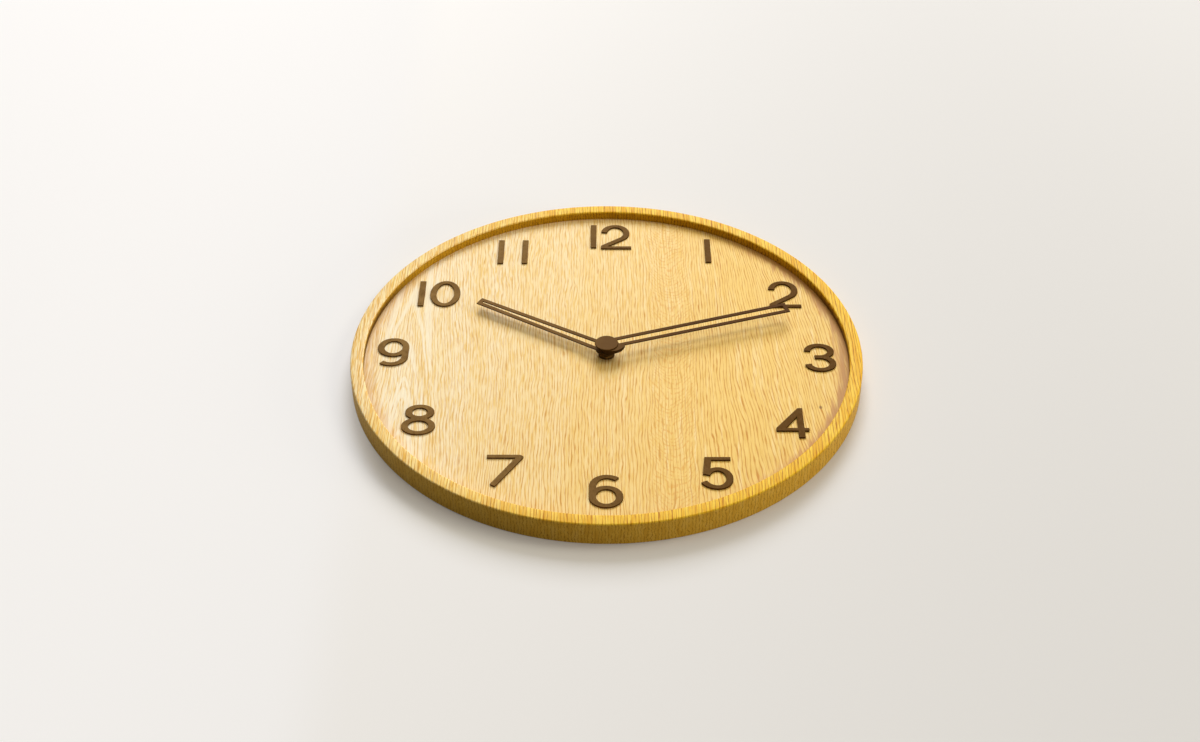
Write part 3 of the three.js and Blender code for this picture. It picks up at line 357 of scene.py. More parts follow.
def turning_tree():
    """Nodes that sweep a profile round the clock's axis, with finishes for its top, outer wall and lip."""
    group = bpy.data.node_groups.new("ring_turning", "GeometryNodeTree")
    group.interface.new_socket("Profile", in_out="INPUT", socket_type="NodeSocketGeometry")
    sockets = named_inputs(group, {
        "Middle radius": "Float",
        "Steps": "Int",
        "Top finish": "Material",
        "Wall finish": "Material",
        "Lip finish": "Material",
    })
    group.interface.new_socket("Ring", in_out="OUTPUT", socket_type="NodeSocketGeometry")
    given = add_node(group, "NodeGroupInput").outputs
    line = feed(group, add_node(group, "GeometryNodeMeshToCurve"), Mesh=given["Profile"]).outputs["Curve"]
    ring = swept(group, circle_line(group, given["Steps"], given["Middle radius"]), line)
    ring = feed(group, add_node(group, "GeometryNodeFlipFaces"), Mesh=ring).outputs[0]
    facing = add_node(group, "GeometryNodeInputNormal").outputs[0]
    place = add_node(group, "GeometryNodeInputPosition").outputs[0]
    upright = maths(group, "LESS_THAN", maths(group, "ABSOLUTE", parts_of(group, facing)[2]), UPRIGHT_LIMIT)
    outwards = add_node(group, "ShaderNodeVectorMath", operation="DOT_PRODUCT")
    group.links.new(facing, outwards.inputs[0])
    group.links.new(place, outwards.inputs[1])
    inner = times(group, upright, maths(group, "LESS_THAN", outwards.outputs["Value"], 0.0))
    ring = finished(group, realized(group, ring), given["Top finish"])
    ring = finished(group, ring, given["Wall finish"], Selection=upright)
    ring = finished(group, ring, given["Lip finish"], Selection=inner)
    group.links.new(ring, add_node(group, "NodeGroupOutput").inputs[0])
    return group, sockets


def grown(name, seed_mesh, group, sockets, values):
    """The plain mesh that a node tree makes from a seed mesh and named inputs."""
    seed = bpy.data.objects.new(name + "_seed", seed_mesh)
    bpy.context.collection.objects.link(seed)
    modifier = seed.modifiers.new("growth", "NODES")
    modifier.node_group = group
    for label, value in values.items():
        modifier[sockets[label]] = value
    evaluated = seed.evaluated_get(bpy.context.evaluated_depsgraph_get())
    mesh = bpy.data.meshes.new_from_object(evaluated)
    seed.modifiers.remove(modifier)
    bpy.data.objects.remove(seed)
    return mesh


def outward(mesh):
    """The mesh with its seams closed and its faces turned outwards."""
    made = bmesh.new()
    made.from_mesh(mesh)
    bmesh.ops.remove_doubles(made, verts=made.verts, dist=TOUCHING)
    bmesh.ops.recalc_face_normals(made, faces=made.faces)
    made.to_mesh(mesh)
    made.free()
    return mesh


def plain_piece(name, mesh):
    mesh.name = name
    mesh.polygons.foreach_set("use_smooth", [True] * len(mesh.polygons))
    mesh.set_sharp_from_angle(angle=SHARP_ANGLE)
    piece = bpy.data.objects.new(name, mesh)
    bpy.context.collection.objects.link(piece)
    return piece


rim_middle = (RIM_LIP + rim_high.x) / 2
rim_profile = profile_of([
    (RIM_REBATE, rim_low.z, 0),
    (rim_high.x, rim_low.z, BACK_ROUNDING),
    (rim_high.x, rim_high.z, TOP_ROUNDING),
    (RIM_LIP, rim_high.z, TOP_ROUNDING),
    (RIM_LIP, dial_front, 0),
    (RIM_REBATE, dial_front, 0),
])
rim_line = bpy.data.meshes.new("rim_line")
rim_line.from_pydata(
    [(radius - rim_middle, -z, 0) for radius, z in rim_profile],
    [(index, (index + 1) % len(rim_profile)) for index in range(len(rim_profile))],
    [],
)
turning, turning_sockets = turning_tree()
rim_mesh = grown("rim", rim_line, turning, turning_sockets, {
    "Middle radius": rim_middle,
    "Steps": RIM_STEPS,
    "Top finish": rim_top_oak,
    "Wall finish": rim_wall_oak,
    "Lip finish": rim_lip_oak_and_shade,
})
rim = plain_piece("rim_turned", outward(rim_mesh))
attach(rim, "case")
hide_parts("rim")

# Dial board: a fibreboard disc in the rebate, with a pocket milled behind for the movement.
# Its raw brown back shows fine pressed fibres.
BOARD_PALE = linear(184, 148, 102)
BOARD_BROWN = linear(168, 131, 86)
FIBRE_DARK = linear(120, 88, 54)
FIBRE_PALE = linear(206, 174, 130)
FIBRE_HEIGHT = 0.2 * mm


def fibreboard():
    material, tree, shader = new_finish("raw_fibreboard")
    place = object_place(tree)
    fibres = cloud(tree, place, (900, 900, 900), detail=4, roughness=0.65, distortion=1.5)
    patches = cloud(tree, place, (40, 40, 40), detail=3, roughness=0.6)
    colour = blended(tree, between(tree, patches, 0.3, 0.7), BOARD_PALE, BOARD_BROWN)
    colour = blended(tree, between(tree, fibres, 0.55, 0.75, end=0.55), colour, FIBRE_DARK)
    colour = blended(tree, between(tree, fibres, 0.42, 0.28, end=0.45), colour, FIBRE_PALE)
    rough = between(tree, fibres, 0.2, 0.8, start=0.8, end=0.95)
    feed(tree, shader, Base_Color=colour, Roughness=rough, Specular_IOR_Level=0.2)
    bumped(tree, shader, fibres, 0.4, FIBRE_HEIGHT)
    return material


def finish_node(name, material):
    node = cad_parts[name]
    node.data.materials.clear()
    node.data.materials.append(material)


finish_node("dial_board", fibreboard())

# Dial veneer: a sheet of pale oak glued to the board, grain from twelve to six under satin lacquer.
# Pale arches show near nine o'clock, a strip of nested bows right of the middle, and a pin knot near four.
# Along its edge, on the right and more weakly on the left, the rim's shadow is painted into the grain.

# Slow changes over the sheet
VENEER_DRIFT = 14 * mm
VENEER_WOBBLE = 1.6 * mm
VENEER_PATCHES = 0.4
VENEER_RELIEF = 0.25
MELLOW_SHEEN_SIDES = (-150 * mm, 70 * mm)
MELLOW_SHEEN_LEAN = -0.15
OPEN_SIDES = (-100 * mm, 50 * mm)
OPEN_LEAN = -0.5

# Heart near nine o'clock
HEART_MIDDLE = -110 * mm
HEART_LEAN = 0.17
HEART_ROUNDING = 4 * mm
HEART_REACH = 24 * mm
HEART_TOP = 50 * mm
HEART_EASE = 30 * mm
HEART_SHARE = 0.65
HEART_PALE = linear(255, 244, 216)

# Lean of the pore rows
ROW_LEAN = 0.05
ROW_REACH = 55 * mm
RIGHT_LEAN = 0.13
RIGHT_SIDE = (40 * mm, 120 * mm)

# Bows right of the middle
BOW_MIDDLE = 46 * mm
BOW_REACH = 17 * mm
BOW_SPACING = 4.2 * mm
BOW_CURVE = 100
BOW_DRIFT = 34.0
BOW_SHARE = 0.55
BOW_GOLD = linear(226, 160, 54)

# Painted rim shadow along the edge, and pin knot
RIM_SHADOW_EDGE = (144.0 * mm, 150.5 * mm)
RIM_SHADOW_RIGHT = (50 * mm, 120 * mm)
RIM_SHADOW_LEFT = (-100 * mm, -135 * mm)
RIM_SHADOW_WANDER = 20 * mm
RIM_SHADOW_SHARE = 0.9
RIM_SHADOW_BROWN = linear(206, 150, 88)
PIN_KNOT = (122 * mm, -48 * mm)
KNOT_SQUASH = 0.7
KNOT_EDGE = (1.4 * mm, 0.4 * mm)
KNOT_SHARE = 0.8
KNOT_BROWN = linear(128, 92, 44)


def nested_bows(tree, place, moved, y):
    """How far a point is inside the strip, and the broken bows there."""
    side = maths(tree, "SUBTRACT", moved, BOW_MIDDLE)
    strip = between(tree, maths(tree, "ABSOLUTE", side), BOW_REACH, BOW_REACH * 0.5)
    drop = times(tree, times(tree, side, side), -BOW_CURVE)
    drift = times(tree, cloud(tree, place, (70, 40, 0), (4.4, 1.2, 0)), BOW_DRIFT)
    turns = maths(tree, "MULTIPLY_ADD", maths(tree, "ADD", y, drop), math.tau / BOW_SPACING, drift)
    breaks = cloud(tree, place, (1000, 170, 0), (7.1, 3.3, 0))
    rows = between(tree, maths(tree, "SINE", turns), 0.1, 0.95)
    return strip, times(tree, rows, between(tree, breaks, 0.40, 0.60))


def heart_arches(tree, away, y):
    """The distance from the heart's middle line, and the same bent into arches below the heart's top."""
    near = maths(tree, "SQRT", maths(tree, "MULTIPLY_ADD", away, away, HEART_ROUNDING ** 2))
    low = maths(tree, "SMOOTH_MIN", y, HEART_TOP, HEART_EASE)
    bend = between(tree, near, 0.0, HEART_REACH, start=HEART_LEAN, end=0.0)
    return near, maths(tree, "MULTIPLY_ADD", low, bend, near)


def leaning_rows(tree, away, moved, x, y):
    """The way across the pore rows, which fan out beside the heart and lean on the right."""
    side = maths(tree, "MAXIMUM", maths(tree, "DIVIDE", away, ROW_REACH), -1.0)
    side = maths(tree, "MINIMUM", side, 1.0)
    fan = times(tree, maths(tree, "SINE", times(tree, side, math.pi)), ROW_LEAN)
    lean = maths(tree, "ADD", fan, between(tree, x, *RIGHT_SIDE, end=RIGHT_LEAN))
    return maths(tree, "MULTIPLY_ADD", y, lean, moved)


def painted_rim_shadow(tree, place, x, y):
    """The share of painted rim shadow along the dial's edge."""
    from_middle = maths(tree, "SQRT", maths(tree, "MULTIPLY_ADD", x, x, times(tree, y, y)))
    streaks = cloud(tree, place, (420, 30, 0), (3.8, 0.7, 0), detail=3)
    wander = maths(tree, "MULTIPLY_ADD", streaks, RIM_SHADOW_WANDER, from_middle)
    right = between(tree, x, *RIM_SHADOW_RIGHT)
    left = between(tree, x, *RIM_SHADOW_LEFT, end=0.5)
    edge = between(tree, wander, *RIM_SHADOW_EDGE, end=RIM_SHADOW_SHARE)
    return times(tree, edge, maths(tree, "MAXIMUM", right, left))


def pin_knot(tree, x, y):
    """The share of a small round knot."""
    beside = maths(tree, "SUBTRACT", x, PIN_KNOT[0])
    above = times(tree, maths(tree, "SUBTRACT", y, PIN_KNOT[1]), KNOT_SQUASH)
    square = maths(tree, "MULTIPLY_ADD", beside, beside, times(tree, above, above))
    return between(tree, maths(tree, "SQRT", square), *KNOT_EDGE, end=KNOT_SHARE)


def veneer_oak():
    material, tree, shader = new_finish("pale_oak_veneer")
    place = object_place(tree)
    x, y, z = parts_of(tree, place)
    drift = cloud(tree, place, (11, 4.5, 0), detail=3, roughness=0.55)
    wobble = cloud(tree, place, (90, 40, 0), (1.7, 2.9, 0), detail=1)
    moved = maths(tree, "MULTIPLY_ADD", wobble, VENEER_WOBBLE, x)
    moved = maths(tree, "MULTIPLY_ADD", drift, VENEER_DRIFT, moved)
    away = maths(tree, "SUBTRACT", moved, HEART_MIDDLE)
    near, arches = heart_arches(tree, away, y)
    strip, bows = nested_bows(tree, place, moved, y)
    pores = oak_pores(tree, leaning_rows(tree, away, moved, x, y), y, z)

    slow = cloud(tree, place, (9, 3, 0), (0.6, 3.4, 0))
    # Paler towards the upper left: partly the oak's own tone, partly a painted sheen.
    sideways = between(tree, maths(tree, "MULTIPLY_ADD", y, MELLOW_SHEEN_LEAN, x), *MELLOW_SHEEN_SIDES)
    opened = between(tree, maths(tree, "MULTIPLY_ADD", y, OPEN_LEAN, x), *OPEN_SIDES, start=0.6, end=1.0)
    colour = oak_colour(
        tree,
        pores,
        oak_figure(tree, arches, y, z),
        pale=linear(255, 240, 206),
        golden=linear(249, 210, 114),
        streak=linear(254, 231, 174),
        deep=linear(240, 196, 100),
        pore=linear(208, 145, 48),
        mellow=mellow_and_sheen(tree, sideways, slow, VENEER_PATCHES),
        pore_depth=times(tree, opened, between(tree, strip, 0.0, 1.0, start=1.0, end=0.8)),
        ring_depth=0.2,
    )
    heart_lines = cloud(tree, oak_place(tree, arches, y, z), (430, 7, 0), (5.2, 6.1, 0))
    heart = between(tree, near, HEART_REACH * 0.5, HEART_REACH, start=HEART_SHARE, end=0.0)
    heart = times(tree, between(tree, heart_lines, 0.52, 0.60), heart)
    colour = blended(tree, heart, colour, HEART_PALE)
    colour = blended(tree, times(tree, times(tree, strip, bows), BOW_SHARE), colour, BOW_GOLD)
    # Painted shadow of the rim along the dial's edge.
    colour = blended(tree, painted_rim_shadow(tree, place, x, y), colour, RIM_SHADOW_BROWN)
    colour = blended(tree, pin_knot(tree, x, y), colour, KNOT_BROWN)
    oak_surface(tree, shader, colour, pores, VENEER_RELIEF)
    return material


finish_node("dial_veneer", veneer_oak())

# Digits: fifteen figures cut from thin board, stained dark brown and glued to the dial.
# Their cut edges are eased with a fine bevel that catches a little light.
DIGIT_BEVEL = 0.16 * mm
BEVEL_STEPS = 2
BEVEL_ANGLE = math.radians(40)
WELD = 0.03 * mm
FLAT = math.radians(1)
DIGIT_SHEEN_REACH = 120 * mm
STAIN_SHEEN_LEFT = linear(142, 109, 60)
STAIN_RIGHT = linear(98, 65, 17)
STAIN_PATCH = linear(106, 76, 36)
STAIN_DARK = linear(82, 56, 24)
STAIN_PALE = linear(132, 99, 54)
DIGIT_SIDE_SHADE = linear(58, 38, 14)
STAIN_SHINE = 0.03
STAIN_HEIGHT = 0.1 * mm


def side_shade_share(tree):
    """1 on faces that stand upright, 0 on faces that lie level: where side faces get painted shade."""
    facing = add_node(tree, "ShaderNodeNewGeometry").outputs["Normal"]
    return between(tree, maths(tree, "ABSOLUTE", parts_of(tree, facing)[2]), 0.75, 0.2)


def sheen_fade(tree, place, reach):
    """0 at the left and 1 at the right, over the reach on each side of the middle: it fades a painted sheen.
    """
    return between(tree, parts_of(tree, place)[0], -reach, reach)


def brown_stain():
    material, tree, shader = new_finish("brown_stained_board")
    place = object_place(tree)
    fibres = cloud(tree, place, (1400, 420, 900), detail=3, roughness=0.6)
    patches = cloud(tree, place, (160, 160, 160))
    # Painted sheen: the stain is paler on the left and darker on the right.
    colour = blended(tree, sheen_fade(tree, place, DIGIT_SHEEN_REACH), STAIN_SHEEN_LEFT, STAIN_RIGHT)
    colour = blended(tree, between(tree, patches, 0.3, 0.7, end=0.6), colour, STAIN_PATCH)
    colour = blended(tree, between(tree, fibres, 0.5, 0.75, end=0.45), colour, STAIN_DARK)
    colour = blended(tree, between(tree, fibres, 0.45, 0.25, end=0.35), colour, STAIN_PALE)
    # Painted shade on the upright side faces.
    colour = blended(tree, times(tree, side_shade_share(tree), 0.6), colour, DIGIT_SIDE_SHADE)
    rough = between(tree, fibres, 0.2, 0.8, start=0.55, end=0.75)
    feed(tree, shader, Base_Color=colour, Roughness=rough, Specular_IOR_Level=STAIN_SHINE)
    bumped(tree, shader, fibres, 0.3, STAIN_HEIGHT)
    return material


def merged(name, source):
    """A clean copy of a mesh, with loose triangles welded, slivers gone and flat faces made whole."""
    made = bmesh.new()
    made.from_mesh(source)
    bmesh.ops.remove_doubles(made, verts=made.verts, dist=WELD)
    bmesh.ops.holes_fill(made, edges=[edge for edge in made.edges if edge.is_boundary])
    bmesh.ops.dissolve_degenerate(made, dist=WELD, edges=made.edges)
    bmesh.ops.dissolve_limit(made, angle_limit=FLAT, verts=made.verts, edges=made.edges)
    mesh = bpy.data.meshes.new(name)
    made.to_mesh(mesh)
    made.free()
    mesh.materials.clear()
    return mesh


def merged_copy(node):
    return merged(node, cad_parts[node].data)


def ease_edges(piece, width):
    bevel = piece.modifiers.new("eased_edges", "BEVEL")
    bevel.width = width
    bevel.segments = BEVEL_STEPS
    bevel.limit_method = "ANGLE"
    bevel.angle_limit = BEVEL_ANGLE
    bevel.harden_normals = False


def dressed_copy(name, node, body, material, bevel, mesh=None):
    """A merged copy of a solid, eased and finished, that takes the solid's place."""
    piece = plain_piece(name, mesh or merged_copy(node))
    piece.data.materials.append(material)
    ease_edges(piece, bevel)
    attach(piece, body)
    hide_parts(node)


digit_stain = brown_stain()
for node in sorted(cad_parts):
    if node.startswith("numeral_"):
        digit = node.replace("numeral", "digit")
        dressed_copy(digit, node, "case", digit_stain, DIGIT_BEVEL)

# Movement case and cover: moulded black plastic with a fine spark-eroded texture and eased edges.
# The cover carries the keyhole ear and snaps on over the gears.
CASE_EASING = 0.25 * mm
COVER_EASING = 0.2 * mm
MOULD_HEIGHT = 0.06 * mm


def moulded_plastic(name, ground, light, grain, rough):
    material, tree, shader = new_finish(name)
    place = object_place(tree)
    texture = cloud(tree, place, (grain, grain, grain), roughness=0.6)
    patches = cloud(tree, place, (120, 120, 120))
    share = between(tree, patches, 0.2, 0.8, start=0.4, end=1.0)
    share = times(tree, between(tree, texture, 0.35, 0.7), share)
    uneven = between(tree, texture, 0.3, 0.7, start=rough, end=rough + 0.18)
    feed(tree, shader, Base_Color=blended(tree, share, ground, light), Roughness=uneven)
    bumped(tree, shader, texture, 0.3, MOULD_HEIGHT)
    return material


black_plastic = moulded_plastic(
    "black_moulding",
    ground=linear(26, 26, 28),
    light=linear(44, 44, 46),
    grain=2600,
    rough=0.45,
)
dressed_copy("moulded_case", "movement_case", "case", black_plastic, CASE_EASING)
dressed_copy("moulded_cover", "movement_cover", "case", black_plastic, COVER_EASING)

# Gasket, bush, washer and nut: a rubber ring behind the dial, and in front a brass bush with a steel washer
# and nut, which clamp the movement to the board. The washer and nut are coloured as painted shade under the
# hub.
NUT_CHAMFER = 0.3 * mm
RUBBER_DARK = linear(20, 20, 20)
RUBBER_BLOOM = linear(40, 40, 39)
RUBBER_HEIGHT = 0.1 * mm
TOOL_MARKS = 0.04 * mm


def turned_metal(name, ground, worn, rough, lines, metal=1.0, shine=0.5):
    material, tree, shader = new_finish(name)
    place = object_place(tree)
    marks = cloud(tree, place, lines, detail=3, roughness=0.6)
    patches = cloud(tree, place, (220, 220, 220), detail=3, roughness=0.6)
    colour = blended(tree, between(tree, patches, 0.35, 0.7), ground, worn)
    uneven = between(tree, marks, 0.25, 0.75, start=rough, end=rough + 0.2)
    feed(tree, shader, Base_Color=colour, Roughness=uneven, Metallic=metal, Specular_IOR_Level=shine)
    bumped(tree, shader, marks, 0.2, TOOL_MARKS)
    return material


def black_rubber():
    material, tree, shader = new_finish("black_rubber")
    bloom = cloud(tree, object_place(tree), (500, 500, 500), detail=4, roughness=0.7)
    colour = blended(tree, between(tree, bloom, 0.4, 0.75), RUBBER_DARK, RUBBER_BLOOM)
    feed(tree, shader, Base_Color=colour, Roughness=between(tree, bloom, 0.3, 0.7, start=0.75, end=0.92))
    bumped(tree, shader, bloom, 0.3, RUBBER_HEIGHT)
    return material


brass = turned_metal(
    "turned_brass",
    ground=linear(202, 164, 84),
    worn=linear(178, 138, 66),
    rough=0.25,
    lines=(300, 300, 6000),
)
# Steel coloured the dark brown of the shade under the hub: painted shade.
shade_brown_steel = turned_metal(
    "steel_in_painted_shade",
    ground=linear(92, 66, 28),
    worn=linear(104, 77, 36),
    rough=0.6,
    lines=(900, 900, 900),
    metal=0.0,
    shine=0.04,
)
finish_node("movement_gasket", black_rubber())
finish_node("movement_bush", brass)
finish_node("fixing_washer", shade_brown_steel)
dressed_copy("chamfered_nut", "fixing_nut", "case", shade_brown_steel, NUT_CHAMFER)

# Battery and contacts: an AA cell in a plain dark sleeve, held between two sprung nickel leaves.
# The sleeve stops short of both ends, as a shrunk sleeve does, and leaves the nickel bare there.
CELL_EASING = 0.3 * mm
BARE_FOOT = 1.0 * mm
BARE_HEAD = 2.5 * mm
SLEEVE_DARK = linear(58, 63, 68)
SLEEVE_SCUFF = linear(92, 97, 101)
BARE_NICKEL = linear(190, 192, 192)
SCUFF_HEIGHT = 0.05 * mm
cell_low, cell_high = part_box("battery")


def cell_sleeve():
    material, tree, shader = new_finish("cell_sleeve")
    place = object_place(tree)
    along = parts_of(tree, place)[0]
    scuffs = cloud(tree, place, (90, 900, 900), detail=4, roughness=0.65)
    sleeve = blended(tree, between(tree, scuffs, 0.5, 0.8, end=0.6), SLEEVE_DARK, SLEEVE_SCUFF)
    foot = maths(tree, "LESS_THAN", along, cell_low.x + BARE_FOOT)
    head = maths(tree, "GREATER_THAN", along, cell_high.x - BARE_HEAD)
    bare = maths(tree, "MAXIMUM", foot, head)
    colour = blended(tree, bare, sleeve, BARE_NICKEL)
    rough = between(tree, scuffs, 0.3, 0.8, start=0.28, end=0.5)
    feed(tree, shader, Base_Color=colour, Metallic=bare, Roughness=rough)
    bumped(tree, shader, scuffs, 0.15, SCUFF_HEIGHT)
    return material


nickel = turned_metal(
    "nickel_plate",
    ground=linear(196, 197, 196),
    worn=linear(176, 176, 174),
    rough=0.22,
    lines=(700, 700, 700),
)
dressed_copy("sleeved_cell", "battery", "case", cell_sleeve(), CELL_EASING)
finish_node("battery_contact_positive", nickel)
finish_node("battery_contact_negative", nickel)

# Motor and electronics inside the case: a green laminate board with a black chip and a nickel crystal can,
# a stamped soft iron stator and core, a white bobbin and a sintered rotor magnet.
LAMINATE_DARK = linear(40, 98, 62)
LAMINATE_PALE = linear(52, 116, 74)
TRACK_GREEN = linear(96, 142, 84)
WEAVE_HEIGHT = 0.05 * mm


def laminate():
    material, tree, shader = new_finish("green_laminate")
    place = object_place(tree)
    weave = cloud(tree, place, (2400, 2400, 300))
    tracks = cloud(tree, place, (260, 700, 0), detail=0)
    colour = blended(tree, between(tree, weave, 0.35, 0.7), LAMINATE_DARK, LAMINATE_PALE)
    colour = blended(tree, between(tree, tracks, 0.56, 0.6, end=0.6), colour, TRACK_GREEN)
    feed(tree, shader, Base_Color=colour, Roughness=between(tree, weave, 0.3, 0.7, start=0.3, end=0.45))
    bumped(tree, shader, weave, 0.2, WEAVE_HEIGHT)
    return material


soft_iron = turned_metal(
    "stamped_iron",
    ground=linear(142, 144, 148),
    worn=linear(122, 123, 126),
    rough=0.4,
    lines=(400, 3000, 400),
)
ferrite = turned_metal(
    "sintered_ferrite",
    ground=linear(60, 60, 62),
    worn=linear(48, 48, 50),
    rough=0.6,
    lines=(1800, 1800, 1800),
)
white_plastic = moulded_plastic(
    "white_moulding",
    ground=linear(226, 223, 214),
    light=linear(238, 236, 229),
    grain=2200,
    rough=0.35,
)
finish_node("circuit_board", laminate())
finish_node("timing_chip", black_plastic)
finish_node("quartz_crystal", nickel)
finish_node("stator", soft_iron)
finish_node("coil_core", soft_iron)
finish_node("coil_bobbin", white_plastic)
finish_node("rotor_magnet", ferrite)

# Coil winding: one layer after another of enamelled copper wire, of which the outer layer shows.
# Close rings of wire stand side by side along the bobbin.
WIRE_PITCH = 0.25 * mm
WIRE_RADIUS = 0.14 * mm
RING_STEPS = 28
WIRE_STEPS = 6
coil_low, coil_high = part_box("coil_winding")
copper = turned_metal(
    "enamelled_copper",
    ground=linear(186, 106, 60),
    worn=linear(160, 84, 44),
    rough=0.25,
    lines=(4000, 200, 200),
)


def winding_tree():
    """Nodes that stand rings of round wire side by side along X."""
    group = bpy.data.node_groups.new("coil_turns", "GeometryNodeTree")
    sockets = named_inputs(group, {
        "Turns": "Int",
        "First turn": "Vector",
        "Pitch": "Vector",
        "Ring radius": "Float",
        "Wire radius": "Float",
        "Finish": "Material",
    })
    group.interface.new_socket("Winding", in_out="OUTPUT", socket_type="NodeSocketGeometry")
    given = add_node(group, "NodeGroupInput").outputs
    spots = add_node(group, "GeometryNodeMeshLine", mode="OFFSET")
    feed(group, spots, Count=given["Turns"], Start_Location=given["First turn"], Offset=given["Pitch"])
    path = circle_line(group, RING_STEPS, given["Ring radius"])
    ring = swept(group, path, circle_line(group, WIRE_STEPS, given["Wire radius"]))
    turns = add_node(group, "GeometryNodeInstanceOnPoints")
    feed(group, turns, Points=spots.outputs[0], Instance=ring, Rotation=(0, math.pi / 2, 0))
    wound = finished(group, realized(group, turns.outputs[0]), given["Finish"])
    group.links.new(wound, add_node(group, "NodeGroupOutput").inputs[0])
    return group, sockets


winding, winding_sockets = winding_tree()
coil_turns = int((coil_high.x - coil_low.x - 2 * WIRE_RADIUS) / WIRE_PITCH) + 1
coil_start = (coil_low.x + coil_high.x - (coil_turns - 1) * WIRE_PITCH) / 2
coil_mesh = grown("coil", bpy.data.meshes.new("coil_seed"), winding, winding_sockets, {
    "Turns": coil_turns,
    "First turn": (coil_start, (coil_low.y + coil_high.y) / 2, (coil_low.z + coil_high.z) / 2),
    "Pitch": (WIRE_PITCH, 0, 0),
    "Ring radius": (coil_high.z - coil_low.z) / 2 - WIRE_RADIUS,
    "Wire radius": WIRE_RADIUS,
    "Finish": copper,
})
coil = plain_piece("wound_coil", outward(coil_mesh))
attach(coil, "case")
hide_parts("coil_winding")

# Gear train, setting stem and knob: small wheels moulded in white acetal, and a brass centre wheel.
# The centre wheel's tube carries the minute hand and the hour wheel's tube the hour hand.
# The fluted knob behind turns the setting stem.
KNOB_EASING = 0.12 * mm
for node in ("rotor_pinion", "third_wheel", "motion_wheel", "setting_stem", "hour_wheel"):
    finish_node(node, white_plastic)
finish_node("centre_wheel", brass)
dressed_copy("fluted_knob", "setting_knob", "setting", white_plastic, KNOB_EASING)

# Hands and cap: two open frames stamped from thin aluminium and a round cap over the minute tube,
# all sprayed in one matte dark brown. The hands are pushed on their tubes.
HAND_BEVEL = 0.1 * mm
MINUTE_TURN = math.radians(18.4)
BAR_INNER = 1.79 * mm
BAR_OUTER = 4.20 * mm
BAR_UNDER = 28.0 * mm
HUB_END = 12.5 * mm
HUB_TRIM = (7.1 * mm, HUB_END)
SIDE_TRIM = (1.5 * mm, HUB_END)
HUB_EDGE = 9 * mm
HAND_SHEEN_REACH = 60 * mm
PAINT_SHEEN_LEFT = linear(128, 95, 50)
PAINT_RIGHT = linear(82, 51, 12)
PAINT_PATCH = linear(92, 61, 23)
PAINT_SPRAY = linear(112, 79, 38)
HAND_SIDE_SHADE = linear(34, 21, 9)
PAINT_SHINE = 0.03
SPRAY_HEIGHT = 0.05 * mm
minute_low, minute_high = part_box("minute_hand")


def brown_paint():
    material, tree, shader = new_finish("matte_brown_paint")
    place = object_place(tree)
    spray = cloud(tree, place, (2200, 2200, 2200), detail=3, roughness=0.65)
    patches = cloud(tree, place, (130, 130, 130))
    # Painted sheen: the paint is paler on the left and darker on the right.
    colour = blended(tree, sheen_fade(tree, place, HAND_SHEEN_REACH), PAINT_SHEEN_LEFT, PAINT_RIGHT)
    colour = blended(tree, between(tree, patches, 0.3, 0.7, end=0.35), colour, PAINT_PATCH)
    colour = blended(tree, between(tree, spray, 0.5, 0.75, end=0.35), colour, PAINT_SPRAY)
    # Painted shade on the upright side faces.
    colour = blended(tree, times(tree, side_shade_share(tree), 0.8), colour, HAND_SIDE_SHADE)
    rough = between(tree, spray, 0.3, 0.7, start=0.5, end=0.68)
    feed(tree, shader, Base_Color=colour, Roughness=rough, Specular_IOR_Level=PAINT_SHINE)
    bumped(tree, shader, spray, 0.25, SPRAY_HEIGHT)
    return material


def trimming_block(start, end, low_side, high_side, low, high):
    """A block along the minute hand, to be cut out of its hub."""
    outline = [(start, low_side), (end, low_side), (end, high_side), (start, high_side)]
    cos, sin = math.cos(MINUTE_TURN), math.sin(MINUTE_TURN)
    corners = [(x * cos - y * sin, x * sin + y * cos, z) for z in (low, high) for x, y in outline]
    sides = [(side, (side + 1) % 4, (side + 1) % 4 + 4, side + 4) for side in range(4)]
    mesh = bpy.data.meshes.new("trimming_block")
    mesh.from_pydata(corners, [], [(3, 2, 1, 0), (4, 5, 6, 7)] + sides)
    block = bpy.data.objects.new("trimming_block", mesh)
    bpy.context.collection.objects.link(block)
    return block


def trimmed_hub(mesh):
    """The minute hand with its hub trimmed away between and beside the bars, past the cap's edge."""
    below, above = minute_low.z - mm, minute_high.z + mm
    blocks = [
        trimming_block(*HUB_TRIM, -BAR_INNER, BAR_INNER, below, above),
        trimming_block(*HUB_TRIM, -BAR_INNER, HUB_EDGE, below, BAR_UNDER),
        trimming_block(*SIDE_TRIM, BAR_OUTER, HUB_EDGE, below, above),
    ]
    blank = bpy.data.objects.new("minute_blank", mesh)
    bpy.context.collection.objects.link(blank)
    for block in blocks:
        trim = blank.modifiers.new("trim", "BOOLEAN")
        trim.operation = "DIFFERENCE"
        trim.solver = "EXACT"
        trim.object = block
    evaluated = blank.evaluated_get(bpy.context.evaluated_depsgraph_get())
    trimmed = bpy.data.meshes.new_from_object(evaluated)
    for item in (blank, *blocks):
        bpy.data.objects.remove(item)
    return merged("minute_hand", trimmed)


hand_paint = brown_paint()
minute_mesh = trimmed_hub(merged_copy("minute_hand"))
dressed_copy("stamped_hour_hand", "hour_hand", "hour", hand_paint, HAND_BEVEL)
dressed_copy(
    "stamped_minute_hand",
    "minute_hand",
    "minute",
    hand_paint,
    HAND_BEVEL,
    minute_mesh,
)
dressed_copy("domed_cap", "hub_cap", "minute", hand_paint, HAND_BEVEL)

